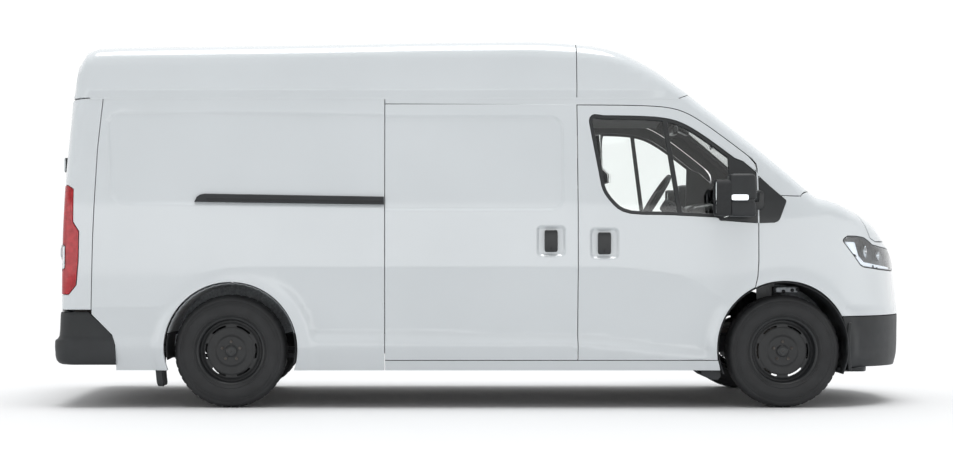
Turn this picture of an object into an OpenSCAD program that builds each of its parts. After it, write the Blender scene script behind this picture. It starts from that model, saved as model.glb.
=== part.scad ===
// High-roof panel van with a sliding side door, twin rear doors and steel wheels.
// Millimetres, +X forward, +Z up, origin on the ground under the middle of the van.

/* [Overall] */
// Distance between the axles
wheelbase = 3366; // [2900:2:4200]
// Front axle to the tip of the nose
front_overhang = 856; // [800:2:1050]
// Rear axle to the back of the rear bumper
rear_overhang = 1105; // [900:5:1500]
// Width of the body at its shoulder
body_width = 2030; // [1690:10:2300]
// Height of the crown of the roof
roof_height = 2285; // [2150:5:2900]
// Height of the bonnet at its rear edge
bonnet_height = 1335; // [1290:5:1400]

/* [Body heights] */
// Underside of the sill
sill_height = 225; // [190:5:270]
// Underside of the doors above the sill's edge
door_lift = 64; // [45:1:90]
// Height of the crease along the shoulder
shoulder_height = 850; // [760:5:930]
// Lower edge of the side windows
belt_height = 1160; // [1080:5:1240]
// Roof crown to the gutter that the roof stands on
gutter_drop = 399; // [340:1:450]
// Gutter to the top seam of the doors
door_top_drop = 35; // [25:1:60]
// Top seam of the doors to the top of the window
window_top_drop = 64; // [50:1:90]
// Top of the load floor
load_floor_height = 590; // [540:5:650]
// Top of the cab floor
cab_floor_height = 470; // [400:5:540]

/* [Walls and gaps] */
// Thickness of the side walls
wall = 62; // [50:1:80]
// Thickness of the doors
door_thickness = 55; // [40:1:56]
// Thickness of the roof with its bows
roof_thickness = 38; // [25:1:60]
// Thickness of the bonnet and its frame
bonnet_thickness = 34; // [20:1:50]
// Gap at every panel seam
panel_gap = 7.5; // [7:0.5:10]
// Thickness of the glass
glass_thickness = 6; // [4:1:8]
// How far the glass sits below the outer skin
glass_inset = 12; // [8:1:20]
// Room left round a fixed pane or lamp
seat_gap = 0.5; // [0.2:0.1:2]

/* [Wheels] */
// Outer diameter of the tyre
tyre_diameter = 686; // [560:2:820]
// Width of the tyre
tyre_width = 215; // [185:5:235]
// Diameter of the rim's bead seats
rim_diameter = 406; // [380:2:430]
// Distance between the middles of the tyres on an axle
track = 1720; // [1600:5:1760]
// Radius of the wheel arches
arch_radius = 404; // [380:2:430]
// Radius of the hub that the wheel turns on
hub_radius = 36; // [28:1:45]
// Radial clearance of the wheel on its hub
hub_clearance = 0.4; // [0.3:0.1:0.8]
// Radius of the brake disc
disc_radius = 150; // [120:2:165]
// Distance between the steering axes
kingpin_track = 1640; // [1600:5:1680]

/* [Cab] */
// Front axle back to the seam between the front door and the sliding door
post_setback = 1256; // [1150:2:1350]
// Front axle back to the front seam of the front door
door_front_setback = 163; // [150:1:180]
// Length of the sliding door
sliding_door_length = 1172; // [960:1:1410]
// Front axle back to the top edge of the windscreen
header_setback = 540; // [480:5:600]
// Front axle forward to the foot of the windscreen
cowl_reach = 206; // [180:2:230]
// Half the width of the windscreen at its top
screen_top_half = 690; // [600:5:720]
// Half the width of the windscreen at its foot
screen_foot_half = 790; // [700:5:810]
// Half the width of the bonnet at its rear edge
bonnet_rear_half = 800; // [700:5:820]
// Half the width of the bonnet at its front edge
bonnet_front_half = 790; // [760:5:800]
// Diameter of the steering wheel
steering_wheel_diameter = 390; // [360:5:420]

/* [Mounts] */
// Spacing of the lashing points along the load floor
lashing_spacing_x = 1500; // [1000:50:1900]
// Spacing of the lashing points across the load floor
lashing_spacing_y = 760; // [500:20:800]
// Radius of each lashing hole
lashing_hole_radius = 5.5; // [4:0.5:8]
// Radius of the bore for the front towing eye
tow_bore_radius = 11; // [9:0.5:14]
// Depth of the bore for the front towing eye
tow_bore_depth = 60; // [40:5:80]

/* [Hidden] */
$fn = 48;

length = wheelbase + front_overhang + rear_overhang;
front_x = length / 2 - front_overhang;
rear_x = front_x - wheelbase;
half = body_width / 2;
wheel_z = tyre_diameter / 2;
gutter_z = roof_height - gutter_drop;
door_top_z = gutter_z - door_top_drop;
window_top_z = door_top_z - window_top_drop;
door_bottom_z = sill_height + door_lift;
bumper_top_z = 555;
rear_bumper_top_z = 584;
post_x = front_x - post_setback;
door_front_x = front_x - door_front_setback;
slide_rear_x = post_x - sliding_door_length;
header_x = front_x - header_setback;
cowl_x = front_x + cowl_reach;
nose_start_x = front_x - 55;
nose_power = 2.5;
tail_corner = 75;
tail_bow = 34;
front_arch = [front_x - 7, wheel_z + 24];
rear_arch = [rear_x + 4, wheel_z + 17];
loft_top = roof_height + 20;
out = half + 200;

// Smooth lower of two heights, which rounds the corner between two edges.
function soft_min(a, b, k) = (a + b - sqrt((a - b) * (a - b) + k * k)) / 2;
function clamp01(v) = min(1, max(0, v));

// How far the side lies inside the shoulder at each height.
function side_inset(z) = lookup(z, [
    [sill_height, 55], [door_bottom_z, 30], [door_bottom_z + 83, 10],
    [door_bottom_z + 161, 26], [door_bottom_z + 204, 26], [shoulder_height, 0],
    [belt_height - 10, 7], [belt_height + 90, 12], [window_top_z, 90],
    [gutter_z, 110], [gutter_z + 55, 90], [roof_height - 135, 135], [roof_height + 20, 165]]);

// The cab's upper body narrows towards the windscreen.
cab_taper = 60;
function cab_inset(x, z) = cab_taper * pow(clamp01((x - post_x) / (nose_start_x - post_x)), 2)
    * clamp01((z - belt_height) / (window_top_z - belt_height));

function nose_x(z) = front_x + front_overhang - lookup(z, [
    [sill_height, 22], [sill_height + 75, 5], [sill_height + 105, 0], [bumper_top_z, 0],
    [704, 18], [930, 43], [1000, 66], [1150, 96], [1300, 116]]);

function tail_x(z) = rear_x - rear_overhang + lookup(z, [
    [469, 77], [1058, 84], [1450, 102], [gutter_z, 139], [roof_height, 152]]);

function body_half(x, z) = let (
    side = half - side_inset(z) - cab_inset(min(x, nose_start_x), z),
    u = clamp01((x - nose_start_x) / (nose_x(z) - nose_start_x)))
    side * pow(1 - pow(u, nose_power), 1 / nose_power);

// Centre-line height of the roof, windscreen and bonnet.
screen_bow = 14;
function roof_line(x) = roof_height - (x < front_x - 1800
    ? lookup(x - rear_x, [[-1120, 600], [-958, 180], [-948, 145], [-925, 105], [-890, 73],
        [-840, 50], [400, 27], [1300, 9]])
    : lookup(x - front_x, [[-1800, 6], [-1507, 4], [-1340, 12], [-1216, 22], [-1091, 38],
        [-967, 69], [-780, 159], [-593, 284], [-469, 377]]));
screen_top_x = front_x - 469;
function bonnet_line(x) = bonnet_height - lookup(x - front_x, [[cowl_reach, -4],
    [cowl_reach + 20, 0], [346, 37], [477, 102], [608, 174], [686, 247], [749, 298],
    [813, 405], [880, 560]]);
function top_z(x) = x <= screen_top_x ? roof_line(x)
    : x >= cowl_x ? bonnet_line(x)
    : let (u = (x - screen_top_x) / (cowl_x - screen_top_x))
        roof_line(screen_top_x) * (1 - u) + bonnet_line(cowl_x) * u + screen_bow * sin(180 * u);
function crown(x) = lookup(x - front_x, [[-1100, 40], [-593, 60], [-469, 72],
    [cowl_reach, 72], [cowl_reach + 20, 58], [700, 45]]);
function edge_radius(x) = lookup(x - front_x, [[-1100, 90], [-469, 60], [700, 60]]);

// One plan outline of the body at height z, moved in by t.
corner_steps = 4;
nose_steps = 9;
cab_steps = 4;
function half_outline(z, t) = let (
    w = half - side_inset(z) - t, xt = tail_x(z) + t, xn = nose_x(z) - t,
    r = max(tail_corner - t, 8), we = body_half(nose_start_x, z) - t)
    concat(
        [for (f = [0, 0.35, 0.7]) [xt - tail_bow * (1 - f * f), (w - r) * f]],
        [for (i = [0:corner_steps]) let (a = 90 * i / corner_steps)
            [xt + r - r * cos(a), w - r + r * sin(a)]],
        [for (i = [0:cab_steps - 1]) let (x = post_x + (nose_start_x - post_x) * i / cab_steps)
            [x, w - cab_inset(x, z)]],
        [for (i = [0:nose_steps]) let (a = 90 - 90 * i / nose_steps)
            [nose_start_x + (xn - nose_start_x) * pow(cos(a), 2 / nose_power),
                we * pow(sin(a), 2 / nose_power)]]);
function mirror_ring(p) = concat([for (q = p) [q[0], -q[1]]],
    [for (i = [len(p) - 2:-1:1]) p[i]]);

// A solid skinned over a stack of equal rings of 3-D points.
module loft(rings) {
    n = len(rings[0]);
    m = len(rings);
    polyhedron(points = [for (r = rings) each r],
        faces = concat([[for (i = [0:n - 1]) i]],
            [for (k = [0:m - 2], i = [0:n - 1]) let (j = (i + 1) % n)
                each [[k * n + i, (k + 1) * n + i, (k + 1) * n + j],
                    [k * n + i, (k + 1) * n + j, k * n + j]]],
            [[for (i = [n - 1:-1:0]) (m - 1) * n + i]]));
}

loft_levels = [sill_height, door_bottom_z, door_bottom_z + 83, door_bottom_z + 161,
    door_bottom_z + 204, (door_bottom_z + 204 + shoulder_height) / 2, shoulder_height,
    (shoulder_height + belt_height) / 2, belt_height - 10, belt_height + 90,
    (belt_height + window_top_z) / 2, window_top_z, gutter_z, gutter_z + 55,
    roof_height - 135, loft_top];
// The sides, tail and nose, moved in by t.
module sides_solid(t) {
    loft([for (z = loft_levels)
        [for (p = mirror_ring(half_outline(z, t))) [p[0], p[1], z == sill_height && t > 0 ? z - 1 : z]]]);
}

top_stations = concat(
    [for (x = [-1120, -958, -948, -925, -890, -840, -300, 400, 1300]) rear_x + x],
    [for (x = [-1507, -1340, -1216, -1091, -967, -780, -593, -469, -282, -95, 60]) front_x + x],
    [for (x = [0, 20]) cowl_x + x], [for (x = [346, 477, 608, 686, 749, 813, 880]) front_x + x]);
arc_steps = 5;
function top_section(x, t, drop) = let (
    z = top_z(x) - drop, c = crown(x), r = max(edge_radius(x) - t, 12), zc = z - c - r,
    w = max(body_half(x, zc) - t, 300), yc = w - r)
    concat([[0, 100], [w + 400, 100], [w + 400, zc - 12]],
        [for (i = [0:arc_steps]) let (a = 12 + 70 * i / arc_steps)
            [yc + r * cos(a), zc + r * sin(a)]],
        [for (f = [0.88, 0.6, 0.3, 0]) [yc * f, z - c * f * f]]);
// Everything below the roof, windscreen and bonnet surface, moved in by t and down by drop.
module top_solid(t, drop) {
    loft([for (x = top_stations) let (s = top_section(x, t, drop), n = len(s))
        [for (p = concat([for (i = [1:n - 1]) s[i]], [for (i = [n - 2:-1:1]) [-s[i][0], s[i][1]]]))
            [x, p[0], p[1]]]]);
}

module envelope(t, drop) {
    intersection() {
        sides_solid(t);
        top_solid(t, drop);
    }
}
// The layer of the body between two depths.
module layer(t0, t1, drop0, drop1) {
    difference() {
        envelope(t0, drop0);
        envelope(t1, drop1);
    }
}
module body_wall() layer(0, wall, 0, roof_thickness);

// A sheet panel is one smooth surface, so it is drawn as one mesh.
module sheet() resize([0, 0, 0]) children();

// A side-view outline pushed through one side or both: side is 1 for left, -1 for right.
module through_side(side, from = 560) {
    translate([0, side > 0 ? out : -from, 0]) rotate([90, 0, 0])
        linear_extrude(out - from) offset(delta = -panel_gap / 2) children();
}
module arch_cuts(extra = 0) {
    for (c = [front_arch, rear_arch]) translate([c[0], 0, c[1]]) rotate([90, 0, 0])
        cylinder(h = 2 * out, r = arch_radius + extra, center = true, $fn = 72);
}
module rect(x0, x1, z0, z1) translate([x0, z0]) square([x1 - x0, z1 - z0]);

// Door edge below the windscreen pillar, and window edge below that.
pillar_drop = 170;
window_drop = 250;
edge_round = 81;
function door_edge(x) = soft_min(door_top_z, top_z(x) - pillar_drop, edge_round);
function window_edge(x) = soft_min(window_top_z, top_z(x) - window_drop, edge_round);
door_edge_x = [1256, 825, 689, 554, 419, 284, 203, 163];
module front_door_outline() {
    polygon(concat([[post_x, door_bottom_z]],
        [for (s = door_edge_x) let (x = s == 1256 ? post_x : s == 163 ? door_front_x : front_x - s)
            [x, door_edge(x) - (s == 163 ? 60 : 0)]],
        [[door_front_x, shoulder_height], [door_front_x - 20, 735], [door_front_x - 20, door_bottom_z]]));
}
window_edge_x = [1095, 717, 622, 487, 298];
module window_outline() {
    translate([front_x, 0]) polygon(concat([[-1156, window_top_z - 7]],
        [for (s = window_edge_x) [-s, window_edge(front_x - s)]],
        [[-200, belt_height + 270], [-200, belt_height - 14], [-403, belt_height - 6],
            [-689, belt_height + 18], [-919, belt_height + 25], [-1000, belt_height + 52],
            [-1068, belt_height + 120], [-1109, belt_height + 181], [-1183, window_top_z - 54]]));
}
// Behind its outer flange the door's rear edge is set back, so that it swings out past the post.
door_flange = 15;
door_rebate = 10;
module front_door(side) {
    color("white") sheet() difference() {
        intersection() {
            layer(0, door_thickness, 0, 0);
            through_side(side) front_door_outline();
        }
        arch_cuts(panel_gap / 2);
        through_side(side) offset(delta = panel_gap / 2) window_outline();
        intersection() {
            translate([post_x - panel_gap, -out, 0]) cube([panel_gap * 1.5 + door_rebate, 2 * out, roof_height]);
            envelope(door_flange, 0);
        }
    }
}
module door_glass(side) {
    color("lightsteelblue") sheet() intersection() {
        layer(glass_inset, glass_inset + glass_thickness, 0, 0);
        through_side(side) offset(delta = panel_gap / 2 - seat_gap) intersection() {
            window_outline();
            rect(post_x, sail_x, sill_height, roof_height);
        }
    }
}
// The sail panel fills the front corner of the window and carries the mirror.
sail_x = front_x - 345;
module sail_panel(side) {
    intersection() {
        layer(0, door_thickness - 8, 0, 0);
        through_side(side) offset(delta = panel_gap / 2 - seat_gap) intersection() {
            window_outline();
            rect(sail_x + 2 * seat_gap, front_x, sill_height, roof_height);
        }
    }
}
module front_door_left() front_door(1);
module front_door_right() front_door(-1);
module door_glass_left() door_glass(1);
module door_glass_right() door_glass(-1);

module sliding_door() {
    color("white") sheet() intersection() {
        layer(0, door_thickness, 0, 0);
        through_side(-1) rect(slide_rear_x, post_x, door_bottom_z, door_top_z);
    }
}
// Rear seams, where the side meets the corner post.
corner_seam = [[-838, sill_height], [-838, 632], [-830, 1026], [-808, 1578], [-783, 1860],
    [-780, gutter_z]];
// The end of the rear bumper that wraps round onto each side.
rear_bumper_reach = 698;
module bumper_end() {
    translate([rear_x, 0]) polygon([[-rear_overhang - 60, rear_bumper_top_z], [-860, rear_bumper_top_z],
        [-rear_bumper_reach - 18, 444], [-rear_bumper_reach, 382], [-rear_bumper_reach, sill_height - 40],
        [-rear_overhang - 60, sill_height - 40]]);
}
module side_outline(front) {
    difference() {
        polygon(concat([for (p = corner_seam) [rear_x + p[0], p[1]]],
            [[front, gutter_z], [front, sill_height]]));
        offset(delta = panel_gap / 2) bumper_end();
    }
}
module body_side(side, front) {
    color("white") sheet() difference() {
        intersection() {
            body_wall();
            through_side(side) side_outline(front);
        }
        arch_cuts();
    }
}
module side_left() body_side(1, post_x);
module side_right() body_side(-1, slide_rear_x);

rail_length = 1148;
rail_height = 48;
rail_rise = 17;
rail_depth = 12;
module slide_rail() {
    z0 = belt_height + 75;
    color("black") translate([slide_rear_x - panel_gap, -half + side_inset(belt_height + 90) - 1, z0])
        rotate([90, 0, 0]) linear_extrude(rail_depth)
            polygon([[0, 0], [0, rail_height], [-rail_length, rail_height + rail_rise],
                [-rail_length - 20, rail_rise]]);
}

// Plan outlines of the windscreen and of the roof cap above it.
module screen_plan() {
    polygon([[header_x, -screen_top_half], [cowl_x - 12, -screen_foot_half],
        [cowl_x - 12, screen_foot_half], [header_x, screen_top_half]]);
}
module top_cut() translate([0, 0, sill_height]) linear_extrude(roof_height) children();

// Fixed frame of the cab: sills, screen pillars, roof rails and the posts behind the doors.
post_half = 55;
post_depth = 20;
// The roof cap's front edge stands this far above the gutter.
cap_lip = 40;
module inner_post(side, x0, x1) {
    intersection() {
        layer(wall, wall + post_depth, 0, 0);
        through_side(side, 500) rect(x0, x1, sill_height - 5, gutter_z);
    }
}
module pillar_outline() {
    polygon([[post_x, door_top_z], [post_x, gutter_z], [header_x - 90, gutter_z],
        [header_x, gutter_z + cap_lip], [header_x, roof_height], [cowl_x, roof_height],
        [cowl_x, bonnet_height + 6], [cowl_x - 110, bonnet_height - 38],
        [door_front_x, bonnet_height + 40]]);
}
module cab_frame() {
    color("white") sheet() difference() {
        union() {
            intersection() {
                body_wall();
                union() for (side = [-1, 1]) {
                    rear = side > 0 ? post_x : slide_rear_x;
                    through_side(side) rect(rear, front_x - 380, sill_height - 5, door_bottom_z);
                    through_side(side) rect(rear, post_x + 10, door_top_z, gutter_z);
                    through_side(side) pillar_outline();
                }
            }
            for (side = [-1, 1]) inner_post(side, post_x - post_half, post_x + post_half);
            inner_post(-1, slide_rear_x - post_half, slide_rear_x + 10);
        }
        for (side = [-1, 1]) intersection() {
            through_side(side) offset(delta = panel_gap) front_door_outline();
            layer(-20, wall + seat_gap, -50, roof_thickness + seat_gap);
        }
        top_cut() offset(delta = panel_gap / 2) screen_plan();
        arch_cuts(panel_gap);
    }
}

module windscreen() {
    color("lightsteelblue") sheet() intersection() {
        layer(0, wall + 20, glass_inset / 2, glass_inset / 2 + glass_thickness);
        top_cut() offset(delta = panel_gap / 2 - seat_gap) screen_plan();
    }
}

// The roof is a long rear panel and a cap over the cab, with a seam above the door post.
module roof_piece() {
    color("white") sheet() intersection() {
        body_wall();
        children();
    }
}
module roof_side() translate([0, out, 0]) rotate([90, 0, 0]) linear_extrude(2 * out)
    offset(delta = -panel_gap / 2) children();
module roof_panel() {
    roof_piece() roof_side() polygon([[-length / 2 - 50, rear_bumper_top_z + 1290],
        [-length / 2 + 160, gutter_z + 6], [-length / 2 + 200, gutter_z],
        [post_x, gutter_z], [post_x, roof_height + 50], [-length / 2 - 50, roof_height + 50]]);
}
module roof_cap() {
    roof_piece() roof_side() polygon([[post_x, gutter_z], [header_x - 90, gutter_z],
        [header_x, gutter_z + cap_lip], [header_x, roof_height + 50], [post_x, roof_height + 50]]);
}

// Rear end: corner posts with the lamps let into them, and two doors between.
rear_door_inset = 165;
rear_door_half = half - rear_door_inset;
rear_door_top = roof_height - 410;
rear_door_lift = 12;
// The doors meet on slanted edges, so that each can open past the other.
meeting_bevel = 20;
lamp_outline = [[-980, 680], [-904, 690], [-904, 1060], [-925, 1110], [-925, 1330],
    [-945, 1355], [-1010, 1355], [-1050, 1300], [-1050, 680]];
module corner_region(side) {
    through_side(side, 500) polygon(concat([for (p = corner_seam) [rear_x + p[0], p[1]]],
        [[-length / 2 - 60, gutter_z], [-length / 2 - 60, sill_height]]));
}
module lamp_region(side) {
    through_side(side, rear_door_half + 30) translate([rear_x, 0]) polygon(lamp_outline);
}
module corner_posts() {
    color("white") sheet() difference() {
        intersection() {
            body_wall();
            union() for (side = [-1, 1]) intersection() {
                corner_region(side);
                translate([-length, side > 0 ? rear_door_half + panel_gap : -out, rear_bumper_top_z + rear_door_lift])
                    cube([length, out - rear_door_half - panel_gap, rear_door_top - rear_bumper_top_z - rear_door_lift]);
            }
        }
        for (side = [-1, 1]) lamp_region(side);
    }
}
module tail_lamps() {
    color("firebrick") sheet() intersection() {
        body_wall();
        union() for (side = [-1, 1]) lamp_region(side);
    }
}
module rear_door(side) {
    color("white") sheet() intersection() {
        layer(0, door_thickness, 0, 0);
        translate([0, 0, rear_bumper_top_z + rear_door_lift])
            linear_extrude(rear_door_top - panel_gap - rear_bumper_top_z - rear_door_lift)
                scale([1, side]) polygon([[-length / 2 - 60, panel_gap / 2], [-length / 2, panel_gap / 2],
                    [-length / 2 + 200, panel_gap / 2 + meeting_bevel], [-length / 2 + 200, rear_door_half],
                    [-length / 2 - 60, rear_door_half]]);
    }
}
module rear_door_left() rear_door(1);
module rear_door_right() rear_door(-1);

// Front end.
bonnet_front_x = front_x + 735;
bonnet_front_z = 1010;
lamp_inner_half = 400;
module bonnet_plan() {
    polygon([[cowl_x + 14, -bonnet_rear_half], [bonnet_front_x + 120, -bonnet_front_half],
        [bonnet_front_x + 120, bonnet_front_half], [cowl_x + 14, bonnet_rear_half]]);
}
module above(z) translate([-length, -out, z]) cube([2 * length, 2 * out, roof_height]);
module bonnet() {
    color("white") sheet() intersection() {
        layer(0, wall, 0, bonnet_thickness);
        top_cut() offset(delta = -panel_gap / 2) bonnet_plan();
        above(bonnet_front_z + panel_gap / 2);
    }
}
lamp_shape = [[362, 1015], [396, 1045], [510, 1036], [573, 992], [740, 960], [900, 960],
    [900, 860], [794, 860], [744, 827], [506, 855]];
module headlamp_region(side) through_side(side, lamp_inner_half)
    translate([front_x, 0]) polygon(lamp_shape);
module wings() {
    color("white") sheet() difference() {
        intersection() {
            layer(0, wall, 0, 60);
            union() for (side = [-1, 1]) through_side(side, lamp_inner_half)
                polygon([[door_front_x, belt_height + 260], [door_front_x, shoulder_height],
                    [door_front_x - 20, 735], [door_front_x - 20, bumper_top_z],
                    [length / 2 + 60, bumper_top_z], [length / 2 + 60, bonnet_height],
                    [cowl_x, bonnet_height + 6], [cowl_x - 110, bonnet_height - 38],
                    [door_front_x, bonnet_height + 40]]);
        }
        arch_cuts();
        intersection() {
            top_cut() offset(delta = panel_gap / 2) union() {
                bonnet_plan();
                screen_plan();
            }
            above(bonnet_front_z - panel_gap / 2);
        }
        for (side = [-1, 1]) headlamp_region(side);
        top_cut() square([2 * length, 2 * lamp_inner_half + panel_gap], center = true);
        top_cut() translate([cowl_x, 0]) square([60, 2 * screen_foot_half], center = true);
    }
}
module headlamps() {
    color("dimgray") sheet() difference() {
        intersection() {
            layer(0, wall - 7, 0, 60);
            union() for (side = [-1, 1]) headlamp_region(side);
        }
        intersection() {
            top_cut() offset(delta = panel_gap / 2) bonnet_plan();
            above(bonnet_front_z - panel_gap / 2);
        }
    }
}
module front_panel() {
    color("black") sheet() intersection() {
        layer(0, wall, 0, 60);
        translate([front_x + 560, -lamp_inner_half + panel_gap / 2, bumper_top_z + panel_gap / 2])
            cube([length, 2 * lamp_inner_half - panel_gap, bonnet_front_z - bumper_top_z - panel_gap]);
    }
}
rail_y = 470;
rail_w = 70;
rail_h = 105;
front_rail_z = 320;
tow_y = -rail_y;
tow_z = front_rail_z + rail_h / 2;
tow_setback = 630;
tow_access_radius = 22;
bumper_lip = [[372, 243], [440, 226], [760, 212], [800, 243], [900, 262]];
module front_bumper() {
    color("black") sheet() difference() {
        intersection() {
            sides_solid(0);
            roof_side() polygon(concat([for (p = bumper_lip) [front_x + p[0], max(p[1], sill_height + 1)]],
                [[front_x + 900, bumper_top_z], [front_x + 345, bumper_top_z]]));
        }
        sides_solid(wall);
        arch_cuts();
        translate([front_x + tow_setback, tow_y, tow_z]) rotate([0, 90, 0])
            cylinder(h = length, r = tow_access_radius);
    }
}
module rear_bumper() {
    color("black") difference() {
        translate([0, 0, sill_height + 15]) linear_extrude(rear_bumper_top_z - sill_height - 15)
            bumper_plan(0);
        translate([0, 0, sill_height + 60]) linear_extrude(400) bumper_plan(70);
        translate([0, 0, sill_height]) linear_extrude(100) bumper_plan(150);
        difference() {
            translate([-length / 2 - 40, -out, 0]) cube([rear_overhang - rear_bumper_reach + 200, 2 * out, bonnet_height]);
            translate([0, out, 0]) rotate([90, 0, 0]) linear_extrude(2 * out) bumper_end();
        }
    }
}
module bumper_plan(t) {
    x0 = -length / 2 + t;
    w = half - 12 - t;
    r = max(95 - t, 20);
    polygon(concat([for (f = [-0.85:0.17:0.86]) [x0 + 30 * f * f, (w - r) * f]],
        [for (a = [0:15:90]) [x0 + 30 + r - r * cos(a), w - r + r * sin(a)]],
        [[rear_x - 640, w], [rear_x - 640, -w]],
        [for (a = [90:-15:0]) [x0 + 30 + r - r * cos(a), -w + r - r * sin(a)]]));
}

// Floors, bulkhead and what carries them.
floor_half = half - wall - 78;
floor_end = door_front_x + 60;
bulkhead_x = post_x - 100;
module load_floor() {
    color("dimgray") difference() {
        union() {
            translate([-length / 2 + 145, -floor_half, load_floor_height - 40])
                cube([bulkhead_x + length / 2 - 145, 2 * floor_half, 40]);
            translate([bulkhead_x - 40, -floor_half, cab_floor_height - 30])
                cube([floor_end - bulkhead_x + 40, 2 * floor_half, 30]);
            translate([bulkhead_x - 40, -floor_half, cab_floor_height - 30])
                cube([40, 2 * floor_half, load_floor_height - cab_floor_height]);
        }
        for (c = [rear_arch, front_arch], side = [-1, 1])
            translate([c[0], side * (liner_inner - 15), c[1]]) rotate([side * -90, 0, 0])
                cylinder(h = out, r = arch_radius + 5);
        for (x = [-1, 1], y = [-1, 1])
            translate([lashing_x + x * lashing_spacing_x / 2, y * lashing_spacing_y / 2, load_floor_height - 60])
                cylinder(h = 100, r = lashing_hole_radius);
    }
}
lashing_x = (-length / 2 + post_x) / 2;
liner_inner = 550;
liner_outer = half - 70;
hub_face = 30;
module bulkhead() {
    shoulder = window_top_z - cab_floor_height;
    top = roof_height - 180 - cab_floor_height;
    color("lightgray") translate([bulkhead_x, 0, cab_floor_height]) rotate([90, 0, 90])
        linear_extrude(30) polygon([[-half + 165, 0], [half - 165, 0], [half - 215, shoulder],
            [half - 280, top], [-half + 280, top], [-half + 215, shoulder]]);
}
rail_end = bulkhead_x - 45;
module chassis_frame() {
    color("dimgray") {
        for (side = [-1, 1]) translate([0, side * rail_y - rail_w / 2, 0]) {
            translate([-length / 2 + 160, 0, load_floor_height - 160])
                cube([rail_end + length / 2 - 160, rail_w, 120]);
            translate([rail_end - rail_w, 0, front_rail_z])
                cube([front_x + tow_setback - rail_end + rail_w, rail_w, rail_h]);
            translate([rail_end - rail_w, 0, front_rail_z])
                cube([rail_w, rail_w, load_floor_height - 40 - front_rail_z]);
        }
        for (x = [rear_x - 800, rear_x - 360, rear_x + 420, 0, rail_end - 150])
            translate([x, -rail_y, load_floor_height - 130]) cube([60, 2 * rail_y, 70]);
        translate([front_x + 500, -rail_y, front_rail_z + 15]) cube([60, 2 * rail_y, 80]);
    }
}
// Engine and gearbox as one plain block.
module motor() {
    color("gray") translate([front_x + 50, -330, 440]) cube([500, 660, 440]);
}
module front_axle() {
    color("dimgray") {
        translate([front_x - 180, -420, 250]) cube([340, 840, 60]);
        for (side = [-1, 1]) {
            translate([0, 0, wheel_z - 108]) linear_extrude(30) polygon([
                [front_x - 170, side * 400], [front_x + 130, side * 400],
                [front_x + 30, side * (kingpin_track / 2 - 85)],
                [front_x - 30, side * (kingpin_track / 2 - 85)]]);
            translate([front_x, side * (kingpin_track / 2 - 130), 236]) cylinder(h = 495, r = 28);
        }
    }
}
module rear_axle() {
    color("dimgray") {
        translate([rear_x, 0, wheel_z]) rotate([90, 0, 0])
            cylinder(h = track - 2 * hub_face + 20, r = 48, center = true);
        for (side = [-1, 1]) {
            translate([rear_x, side * (track / 2 - hub_face + 30), wheel_z]) rotate([90, 0, 0])
                cylinder(h = 80, r = hub_radius, center = true);
            translate([rear_x, side * (track / 2 - hub_face - 40), wheel_z]) rotate([90, 0, 0])
                cylinder(h = 60, r = disc_radius - 10, center = true);
            translate([rear_x - 600, side * rail_y - 30, wheel_z - 62]) cube([1200, 60, 22]);
            for (x = [-600, 560]) translate([rear_x + x, side * rail_y - 30, wheel_z - 62])
                cube([40, 60, load_floor_height - 160 - wheel_z + 62]);
        }
    }
}

flap_y = 770;
flap_width = 230;
// Wheel arch liners, as shells between the tyre and the wings, with the flaps behind.
module liner(c, y_out, y_in) {
    for (side = [-1, 1]) translate([c[0], side > 0 ? y_out : -y_in, c[1]]) rotate([90, 0, 0])
        linear_extrude(y_out - y_in) difference() {
            circle(r = arch_radius - 3);
            circle(r = arch_radius - 13);
            translate([-600, -700]) square([1200, 700 - 60]);
        }
}
module arch_liners() {
    color("black") {
        liner(front_arch, liner_outer, liner_inner);
        liner(rear_arch, liner_outer, liner_inner);
        for (side = [-1, 1]) translate([rear_x - 430, side * flap_y - flap_width / 2, 136])
            cube([14, flap_width, 290]);
    }
}

// Wheels, all turned about the Y axis. The profile runs from the hub outwards.
module turned(side) rotate([side > 0 ? -90 : 90, 0, 0]) rotate_extrude($fn = 96) children();
module tyre_profile() {
    r0 = rim_diameter / 2;
    r1 = tyre_diameter / 2;
    w = tyre_width / 2;
    polygon([[r0 + 1, -w + 25], [r0 + 22, -w + 6], [r0 + 60, -w], [r1 - 45, -w + 8], [r1 - 14, -w + 22],
        [r1, -w + 48], [r1, w - 48], [r1 - 14, w - 22], [r1 - 45, w - 8], [r0 + 60, w],
        [r0 + 22, w - 6], [r0 + 1, w - 25]]);
}
module rim_profile() {
    r0 = rim_diameter / 2;
    w = tyre_width / 2 - 25;
    face = hub_face + 12;
    polygon([[hub_radius + hub_clearance, face], [hub_radius + hub_clearance, hub_face - 12],
        [r0 - 60, hub_face - 12], [r0 - 26, 6], [r0 - 26, -w], [r0, -w], [r0, w], [r0 - 14, w],
        [r0 - 30, face - 14], [r0 - 62, face - 6], [100, face], [70, face + 10], [50, face]]);
}
module wheel_at(x, side) translate([x, side * track / 2, wheel_z]) children();
module tyre(x, side) color("black") wheel_at(x, side) turned(side) tyre_profile();
slot_radius = 150;
module rim(x, side) {
    color("black") wheel_at(x, side) difference() {
        turned(side) rim_profile();
        for (i = [0:5]) rotate([0, 60 * i, 0]) translate([slot_radius, side * hub_face, 0])
            rotate([90, 0, 0]) cube([18, 80, 100], center = true);
    }
}
module tyre_front_left() tyre(front_x, 1);
module tyre_front_right() tyre(front_x, -1);
module tyre_rear_left() tyre(rear_x, 1);
module tyre_rear_right() tyre(rear_x, -1);
module rim_front_left() rim(front_x, 1);
module rim_front_right() rim(front_x, -1);
module rim_rear_left() rim(rear_x, 1);
module rim_rear_right() rim(rear_x, -1);

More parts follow.
